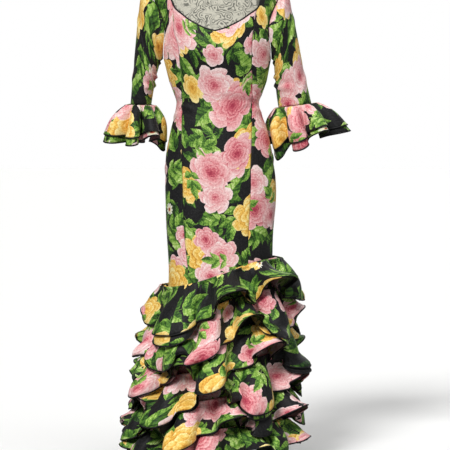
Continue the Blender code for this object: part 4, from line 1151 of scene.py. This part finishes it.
def finer(grid, times, axis):
    """The grid with straight steps put in between its points along an axis."""
    here, after = np.moveaxis(grid, axis, 0)[:-1], np.moveaxis(grid, axis, 0)[1:]
    share = (np.arange(times) / times).reshape(1, -1, *[1] * (grid.ndim - 1))
    steps = here[:, None] + (after - here)[:, None] * share
    return np.moveaxis(steps.reshape(-1, *here.shape[1:]), 0, axis)


def piled_up(pile, grid):
    """The pile, the greatest distance from the middle that cloth reaches at each angle and
    height, with this ring of cloth added to it."""
    dense = finer(finer(np.concatenate([grid, grid[:, :1]], axis=1), 5, 1), 6, 0)
    angle, away = round_axis(dense)
    sector = np.floor((angle / (2 * math.pi) + 0.5) * PILE_TURNS).astype(int) % PILE_TURNS
    level = np.clip(((dense[..., 2] - PILE_LOW_Z) / PILE_STEP).astype(int), 0, pile.shape[1] - 1)
    grown = pile.copy()
    np.maximum.at(grown, (sector, level), away)
    return grown


def widened(pile):
    """The pile with its edges carried a little way round and up and down, then softened."""
    for axis in (0, 1):
        pile = np.max([np.roll(pile, k, axis) for k in range(-2, 3)], axis=0)
    for axis in (0, 1):
        pile = sum(np.roll(pile, k, axis) for k in (-1, 0, 1)) / 3
    return pile


def reach_of(pile, points):
    """The pile's reach at the angle and height of each point, evened out between its cells, with
    the point's own distance and the unit vector from the middle to it."""
    angle, away = round_axis(points)
    sector = (angle / (2 * math.pi) + 0.5) * PILE_TURNS - 0.5
    level = np.clip((points[..., 2] - PILE_LOW_Z) / PILE_STEP - 0.5, 0, pile.shape[1] - 2)
    left, low = np.floor(sector).astype(int), np.floor(level).astype(int)
    t, u = sector - left, level - low
    left, right = left % PILE_TURNS, (left + 1) % PILE_TURNS
    reach = (pile[left, low] * (1 - t) + pile[right, low] * t) * (1 - u) + (
        pile[left, low + 1] * (1 - t) + pile[right, low + 1] * t) * u
    spoke = np.stack([points[..., 0] / away, points[..., 1] / away, np.zeros_like(away)], axis=-1)
    return reach, away, spoke


def kept_off(pile, grid, gap, yields):
    """The grid with each point carried outwards by yields ln(1 + e^((reach + gap - its distance)
    / yields)), which leaves its layers in their order."""
    reach, away, spoke = reach_of(widened(pile), grid)
    return grid + spoke * (yields * np.logaddexp(0, (reach + gap - away) / yields))[..., None]


def lying_on(pile, grid, gap):
    """A ring of cloth moved outwards, away from the middle of the dress, until it lies on the
    pile: twice over, each point's push is YIELD (ln(1 + e^(depth / YIELD)) - ln 2), the depth
    being how far it is short of the pile and the gap, and its neighbours go along with it."""
    widest = widened(pile)
    for _ in range(2):
        reach, away, spoke = reach_of(widest, grid)
        facing = np.abs((normals_of(grid) * spoke).sum(axis=-1))
        apart = gap / np.clip(facing, STEEPEST, 1)
        push = YIELD * np.logaddexp(0, (reach + apart - away) / YIELD) - YIELD * math.log(2)
        push = np.pad(np.where(reach > 0, np.maximum(push, 0), 0), ((1, 1), (0, 0)), mode="edge")
        wide = np.maximum(np.maximum(push[:-2], push[2:]), push[1:-1])
        wide = np.maximum(np.maximum(np.roll(wide, 1, 1), np.roll(wide, -1, 1)), wide)
        wide = np.pad(wide, ((1, 1), (0, 0)), mode="edge")
        soft = (wide[:-2] + 2 * wide[1:-1] + wide[2:]) / 4
        soft = (np.roll(soft, 1, 1) + 2 * soft + np.roll(soft, -1, 1)) / 4
        grid = grid + spoke * soft[..., None]
    return grid


def flounce_layer(name, grid, at, shown_for):
    """One layer of a flounce with its bound hem. The grid's first row is its hem."""
    piece = grid_mesh(name, grid, ring=True, at=at, flared=True)
    wall(piece, LAYER_CLOTH)
    if shown_for:
        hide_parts(shown_for)
    normal = normals_of(grid)[0]
    down = unit(grid[0] - grid[1])
    hem = bound_edge(name + "_hem", grid[0] + normal * LAYER_CLOTH / 2, down, normal)
    flat, area = cut_of(grid, ring=True)


pile_levels = int((PILE_HIGH_Z - PILE_LOW_Z) / PILE_STEP)
bare_turn, bare_z = np.meshgrid(
    np.linspace(-math.pi, math.pi, PILE_TURNS // 4, endpoint=False),
    np.linspace(PILE_LOW_Z, PILE_HIGH_Z, pile_levels // 4),
)
dress_pile = piled_up(np.zeros((PILE_TURNS, pile_levels)), on_figure(bare_turn, bare_z, 0 * bare_z))
flounce_pile = dress_pile
for number, (sizes, lobes) in reversed(list(enumerate(zip(FLOUNCES, LOBES), start=1))):
    low, high, length, lead, wave = sizes
    lift = LIFT if high > PANEL_HEM_Z else SKIRT_LIFT
    curve = lobe_curve(lobes, FLOUNCE_POINTS)
    longer = 1 + (curve["under"] - 1) * (0.5 + 0.5 * curve["crest"])
    for layer, share, inward in (("under", longer, LAYER_PARTING), ("upper", UPPER_LENGTH, 0.0)):
        v = np.linspace(1, 0, FLOUNCE_ROWS + 1)[:, None]
        out, up = rolled(v, length, curve)
        theta = lobe_angles(v, curve, LOBES_OPEN)
        seam = low + (high - low) * eased(0.5 + 0.5 * np.sin(theta))
        z = seam - falls(v, length, curve) * share + up
        off = CLOTH + lift + stand_off(v, lead, wave, curve, GRADUAL, LOBES_OPEN) + out
        grid = figure(theta, z) + outward(theta, z, level=True) * off[..., None]
        parting = inward * np.clip(v / PARTED_FROM, 0, 1)
        grid = grid + normals_of(grid) * (crinkle(v, curve["at"], number) - parting)[..., None]
        grid = lying_on(flounce_pile, grid, LYING_ON)
        flounce_pile = piled_up(flounce_pile, grid)
        shown_for = f"skirt_flounce_{number}" if layer == "upper" else None
        cut_from = (0.37 * number, 0.61 * number + inward * 60)
        flounce_layer(f"skirt_flounce_{number}_{layer}", grid, cut_from, shown_for)

# ================================================================ the sleeves
# Elbow sleeves of the printed cloth, each cut in one piece, eased into its armhole and creased
# at the bend of the arm.

# Rings of a sleeve, one row each: x and z of its outer side and of its inner one, half its
# depth, and how far it is set back.
RIGHT_ARM_SLEEVE = (
    (-0.2230, 1.4850, -0.1815, 1.2620, 0.065, 0.000),
    (-0.2390, 1.4640, -0.1850, 1.2520, 0.063, 0.001),
    (-0.2455, 1.4300, -0.1880, 1.2410, 0.061, 0.003),
    (-0.2510, 1.3850, -0.1920, 1.2270, 0.059, 0.006),
    (-0.2560, 1.3300, -0.1960, 1.2100, 0.057, 0.010),
    (-0.2620, 1.2680, -0.2010, 1.1880, 0.055, 0.015),
    (-0.2680, 1.2000, -0.2060, 1.1600, 0.053, 0.021),
    (-0.2745, 1.1240, -0.2120, 1.1240, 0.050, 0.027),
)
LEFT_ARM_SLEEVE = (
    (0.2100, 1.4840, 0.1765, 1.2620, 0.065, 0.000),
    (0.2220, 1.4600, 0.1775, 1.2510, 0.063, 0.001),
    (0.2290, 1.4270, 0.1780, 1.2400, 0.061, 0.003),
    (0.2390, 1.3830, 0.1790, 1.2260, 0.059, 0.006),
    (0.2500, 1.3280, 0.1800, 1.2090, 0.057, 0.010),
    (0.2620, 1.2660, 0.1825, 1.1870, 0.055, 0.015),
    (0.2760, 1.2000, 0.1860, 1.1560, 0.052, 0.021),
    (0.2930, 1.1280, 0.1920, 1.1160, 0.049, 0.027),
)
SLEEVE_STEPS = 48  # points from the armpit to the shoulder tip
SLEEVE_FINE = 8  # rows to a ring of the table
CREASED_FROM = 0.08  # shares of its length over which the creases fade at its ends
CREASED_TO = 0.05
# Creases of a sleeve: share of its length, middle in degrees from its outer side by way of the
# front, half the angle that it spans, lean, width as a share of the length, and rise.
SLEEVE_CREASES = (
    (0.16, 120, 62, 0.05, 0.030, 0.0050), (0.24, 150, 70, -0.06, 0.028, 0.0052),
    (0.33, 110, 54, 0.08, 0.026, 0.0035), (0.30, 230, 66, 0.07, 0.030, 0.0050),
    (0.52, 40, 60, 0.09, 0.030, 0.0032), (0.62, 172, 74, -0.05, 0.024, 0.0052),
    (0.70, 140, 64, 0.05, 0.022, 0.0055), (0.77, 190, 70, 0.04, 0.024, 0.0052),
    (0.84, 120, 58, -0.06, 0.022, 0.0045), (0.68, 290, 56, -0.08, 0.028, 0.0035),
    (0.88, 30, 60, 0.07, 0.026, 0.0032), (0.10, 300, 58, 0.06, 0.030, 0.0032),
)


def through(rows, at):
    """Catmull-Rom curve through the rows of an array, at these fractional numbers."""
    rows = np.concatenate([2 * rows[:1] - rows[1:2], rows, 2 * rows[-1:] - rows[-2:-1]])
    base = np.clip(np.floor(at).astype(int), 0, len(rows) - 4)
    return between(*(rows[base + k] for k in range(4)), (at - base)[:, None, None])


def armhole_ring(side):
    """The armhole's edge from the shoulder tip over the front to the armpit and up the back."""
    up = armhole_levels(SLEEVE_STEPS)
    front = armhole_angle(up, ARMHOLE_FRONT)[::-1]
    back = math.pi - armhole_angle(up, ARMHOLE_BACK)
    theta = np.concatenate([front, back[1:-1]])
    z = np.concatenate([up[::-1], up[1:-1]])
    return on_figure(side * theta, z, CLOTH + 2 * SEAM_GAP + 0 * z)


def sleeve_rings(table):
    """Rings of the sleeve, from the armhole down to its hem: ovals about its slanted middle."""
    turn = np.linspace(0, 2 * math.pi, 2 * SLEEVE_STEPS, endpoint=False)
    rings = [armhole_ring(math.copysign(1, table[0][0]))]
    for outer_x, outer_z, inner_x, inner_z, half_depth, back in table:
        outer, inner = np.array([outer_x, back, outer_z]), np.array([inner_x, back, inner_z])
        across = (outer - inner) / 2
        ahead = np.array([0, -half_depth, 0])
        oval = np.outer(np.cos(turn), across) + np.outer(np.sin(turn), ahead)
        rings.append((outer + inner) / 2 + oval)
    return np.array(rings)


def sleeve_creases(share, turn):
    """How far a sleeve's cloth stands off in its creases: bells with a furrow beside them."""
    middle, angle, span, lean, width, rise = np.array(SLEEVE_CREASES, float).T
    turned = (turn - np.radians(angle) + math.pi) % (2 * math.pi) - math.pi
    fade = np.clip(1 - (turned / np.radians(span)) ** 2, 0, 1) ** 1.5
    off = (share - middle - lean * turned - 0.02 * turned**2) / width
    fold = np.exp(-(off**2)) - 0.5 * np.exp(-(((off + 1.9) / 1.2) ** 2))
    return (rise * fade * fold).sum(axis=-1)


for side_name, table, sleeve_at in (
    ("right", RIGHT_ARM_SLEEVE, (9.4, 0.8)), ("left", LEFT_ARM_SLEEVE, (3.3, 6.2)),
):
    side = math.copysign(1, table[0][0])
    coarse = sleeve_rings(table)
    rings = through(coarse, np.linspace(0, len(coarse) - 1, (len(coarse) - 1) * SLEEVE_FINE + 1))
    rings = rings[::int(side)]
    order = np.linspace(0, 1, len(rings))[::int(side)]
    turns = np.linspace(0, 2 * math.pi, rings.shape[1], endpoint=False)
    rise = sleeve_creases(order[:, None, None], turns[None, :, None])
    ends = np.clip(order / CREASED_FROM, 0, 1) * np.clip((1 - order) / CREASED_TO, 0, 1)
    rise = rise * ends[:, None]
    rings = rings + normals_of(rings) * rise[..., None]
    rings = inset_edges(rings, bottom=HALF_GAP * (side < 0), top=HALF_GAP * (side > 0))
    sleeve = grid_mesh(f"sleeve_{side_name}_cloth", rings, ring=True, at=sleeve_at, flared=True)
    wall(sleeve)
    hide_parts(f"sleeve_{side_name}")
    sleeve_flat, sleeve_area = cut_of(rings, ring=True)

# ================================================================ the cuff flounces
# Two circular flounces of the printed cloth, gathered into each sleeve's hem seam, the under
# one longer, with hems bound like the skirt's.

CUFF_LENGTH = 0.094
CUFF_LEAD = 0.047
CUFF_WAVE = 0.033
CUFF_GRADUAL = 1.25
CUFF_OPENS = 0.82
CUFF_SWAY = 0.72  # overhang of a cuff's lobe as a share of a skirt lobe's
CUFF_UNDER = 1.15  # the under layer's length as a share of the upper one's
CUFF_PARTING = 0.0040  # between the two layers' insides at the hem
# The lobes round each cuff, from the arm's outer side by way of the front.
RIGHT_ARM_LOBES = (
    (30, 1.20, 1.02, -0.04, -4), (76, 0.95, 1.02, 0.00, 4),
    (124, 1.10, 0.72, 0.10, 6), (176, 0.55, 1.15, -0.05, -5),
    (224, 0.55, 0.80, 0.15, 4), (268, 0.85, 1.10, -0.05, -5),
    (322, 1.05, 1.00, 0.05, 5),
)
LEFT_ARM_LOBES = (
    (10, 1.45, 0.92, 0.06, -4), (56, 1.05, 0.74, 0.20, 6),
    (100, 1.10, 1.10, -0.06, -4), (154, 0.55, 1.30, -0.05, -6),
    (208, 0.55, 0.80, 0.15, 4), (252, 0.95, 1.10, -0.05, 5),
    (304, 1.00, 0.85, 0.10, -5),
)
CUFF_HIGH = 0.5  # height of a cuff's seam in its own pile
CUFF_CLEAR = 0.006  # from a cuff to the side of the dress that it hangs against
CUFF_YIELD = 0.009  # how soon a cuff gives way to it
CUFF_POINTS = 44
CUFF_ROWS = 18


def ring_point(ring, turn):
    """Point of a closed ring at a turn of 0 to 1 from its first point."""
    closed = np.vstack([ring, ring[:1]])
    at = (turn % 1.0) * len(ring)
    return np.stack([np.interp(at, np.arange(len(closed)), closed[:, k]) for k in range(3)], axis=-1)


for side_name, table, lobes, cuff_at in (
    ("right", RIGHT_ARM_SLEEVE, RIGHT_ARM_LOBES, 5.3), ("left", LEFT_ARM_SLEEVE, LEFT_ARM_LOBES, 6.6),
):
    side = math.copysign(1, table[0][0])
    coarse = sleeve_rings(table)
    ring = coarse[-1]
    centre = ring.mean(axis=0)
    lean = unit(centre - coarse[-3].mean(axis=0))
    curve = lobe_curve(lobes, CUFF_POINTS)
    across = unit(np.cross(lean, (0.0, 1.0, 0.0)))
    own_axes = np.stack([across, np.cross(across, lean), -lean])
    own_middle = centre - CUFF_HIGH * own_axes[2]
    cuff_pile = np.zeros_like(dress_pile)
    for layer, share in (("under", CUFF_UNDER), ("upper", 1.0)):
        v = np.linspace(0, share, CUFF_ROWS + 1)[:, None]
        theta = lobe_angles(v, curve, CUFF_OPENS, CUFF_SWAY)
        seam = ring_point(ring, theta / (2 * math.pi))
        away = seam - centre
        away = unit(away - (away @ lean)[..., None] * lean)
        out, up = rolled(v, CUFF_LENGTH, curve)
        off = stand_off(v, CUFF_LEAD, CUFF_WAVE, curve, CUFF_GRADUAL, CUFF_OPENS) + out
        drop = falls(v, CUFF_LENGTH, curve) - up
        grid = seam + away * off[..., None] + lean * drop[..., None]
        normal = side * normals_of(grid)
        fine = crinkle(v, curve["at"], 3.0 + side)
        if layer == "upper":
            level = np.clip(v * 6, 0, 1)[..., None]
            direction = unit(away * (1 - level) + normal * level)
            lift = CLOTH + LIFT + (CUFF_PARTING - CLOTH - LIFT) * v
            grid = grid + direction * (lift + fine)[..., None]
        else:
            grid = grid + lean * (CLOTH + HALF_GAP) + normal * fine[..., None]
        own = (grid - own_middle) @ own_axes.T
        own = lying_on(cuff_pile, own, CUFF_PARTING)
        cuff_pile = piled_up(cuff_pile, own)
        grid = kept_off(dress_pile, own @ own_axes + own_middle, CUFF_CLEAR, CUFF_YIELD)
        name = f"cuff_{side_name}_{layer}_flounce"
        flounce_layer(name + "_cloth", grid[::-1, ::-int(side)], (cuff_at, cuff_at * 0.7 + share),
                      name)

# ================================================================ the neck binding
# A strip of the black bias that binds the hems, folded over the neck edge and stitched down all
# round the opening.

BINDING_THICK = 0.00352
BINDING_WIDTH = 0.0056  # folded down over both sides of the edge
corner = LOW_ROWS + HIGH_ROWS // 2 - 1
neck_theta, neck_z = (
    np.concatenate([
        front_panel[k][-1, :-1],
        front_left_side[k][corner:-1, 0],
        back_left_side[k][corner + 1:, -1][::-1],
        back_left_centre[k][-1, :-1],
        back_right_centre[k][-1, :-1],
        back_right_side[k][corner:-1, 0],
        front_right_side[k][corner + 1:, -1][::-1],
    ])
    for k in (0, 1)
)
neck_edge = on_figure(neck_theta, neck_z, CLOTH / 2 + 0 * neck_z)
neck_normal = outward(neck_theta, neck_z)
neck_along = unit(np.roll(neck_edge, -1, axis=0) - np.roll(neck_edge, 1, axis=0))
neck_over = unit(np.cross(neck_normal, neck_along))
neck_over = neck_over * np.sign(neck_over[:, 2].sum())
bound_edge("neck_binding_strip", neck_edge, neck_over, neck_normal,
           BINDING_WIDTH, BINDING_THICK, ["neck_binding"])

# ================================================================ floor, light and camera
# A pale floor that runs out to a white surround, a soft high light from the front left, weaker
# ones from above, from the right and from behind, and a little light from all round.

FLOOR_WHITE = (0.92, 0.92, 0.91)
FLOOR_BOUNCE = (0.25, 0.25, 0.25)  # what the floor gives back to the dress
FLOOR_HALF = 60.0
SURROUND_SEEN = 1.0
SURROUND_LIGHT = 0.07
VIEW_MIDDLE = (0.022, 0.0, 0.7466)
VIEW_TALL = 1.4175  # height of the picture at the dress
CAMERA_PLACE = (0.022, -7.5, 1.14)
LAMPS_AWAY = 3.0
SENSOR = 36.0  # width of the camera's sensor in millimetres
LAMPS = (  # name, direction that it comes from, softness in degrees, strength
    ("key", (-0.55, -1.30, 1.05), 16, 2.75),
    ("overhead", (0.15, -0.25, 1.00), 50, 1.10),
    ("fill", (1.20, -1.00, 0.45), 50, 0.40),
    ("behind", (0.50, 1.30, 0.90), 40, 0.90),
)

floor_line = np.linspace(-FLOOR_HALF, FLOOR_HALF, 3)
floor_x, floor_y = np.meshgrid(floor_line, floor_line)
floor = grid_mesh("floor", np.stack([floor_x, floor_y, 0 * floor_x], axis=-1))
floor_finish, floor_shader, floor_place = new_finish("pale_floor", Roughness=0.9)
floor_seen = floor_place.node("LightPath", {}, {}, "Is Camera Ray")
feed(floor_shader, "Base Color", floor_seen.tinted((0.0, FLOOR_BOUNCE), (1.0, FLOOR_WHITE)))
floor.data.materials.append(floor_finish)

for lamp_name, lamp_from, lamp_softness, lamp_strength in LAMPS:
    lamp = bpy.data.lights.new(lamp_name, "SUN")
    lamp.angle = math.radians(lamp_softness)
    lamp.energy = lamp_strength
    lamp_object = bpy.data.objects.new(lamp_name, lamp)
    bpy.context.scene.collection.objects.link(lamp_object)
    lamp_object.location = Vector(lamp_from) * LAMPS_AWAY
    lamp_object.rotation_euler = Vector(lamp_from).to_track_quat("Z", "Y").to_euler()

world = bpy.data.worlds.new("white_surround")
bpy.context.scene.world = world
world.use_nodes = True
surround = world.node_tree.nodes["Background"]
surround_start = Wire(world.node_tree, surround.outputs[0])
seen = surround_start.node("LightPath", {}, {}, "Is Camera Ray")
world.node_tree.links.new(
    (seen * (SURROUND_SEEN - SURROUND_LIGHT) + SURROUND_LIGHT).socket, surround.inputs["Strength"])
surround.inputs["Color"].default_value = (1.0, 1.0, 1.0, 1.0)

camera_data = bpy.data.cameras.new("camera")
camera = bpy.data.objects.new("camera", camera_data)
bpy.context.scene.collection.objects.link(camera)
camera.location = CAMERA_PLACE
gaze = Vector(VIEW_MIDDLE) - Vector(CAMERA_PLACE)
camera.rotation_euler = gaze.to_track_quat("-Z", "Y").to_euler()
camera_data.sensor_width = SENSOR
camera_data.lens = SENSOR * gaze.length / VIEW_TALL
camera_data.clip_end = 40.0
bpy.context.scene.camera = camera
bpy.context.scene.view_settings.view_transform = "Standard"
bpy.context.scene.view_settings.look = "None"
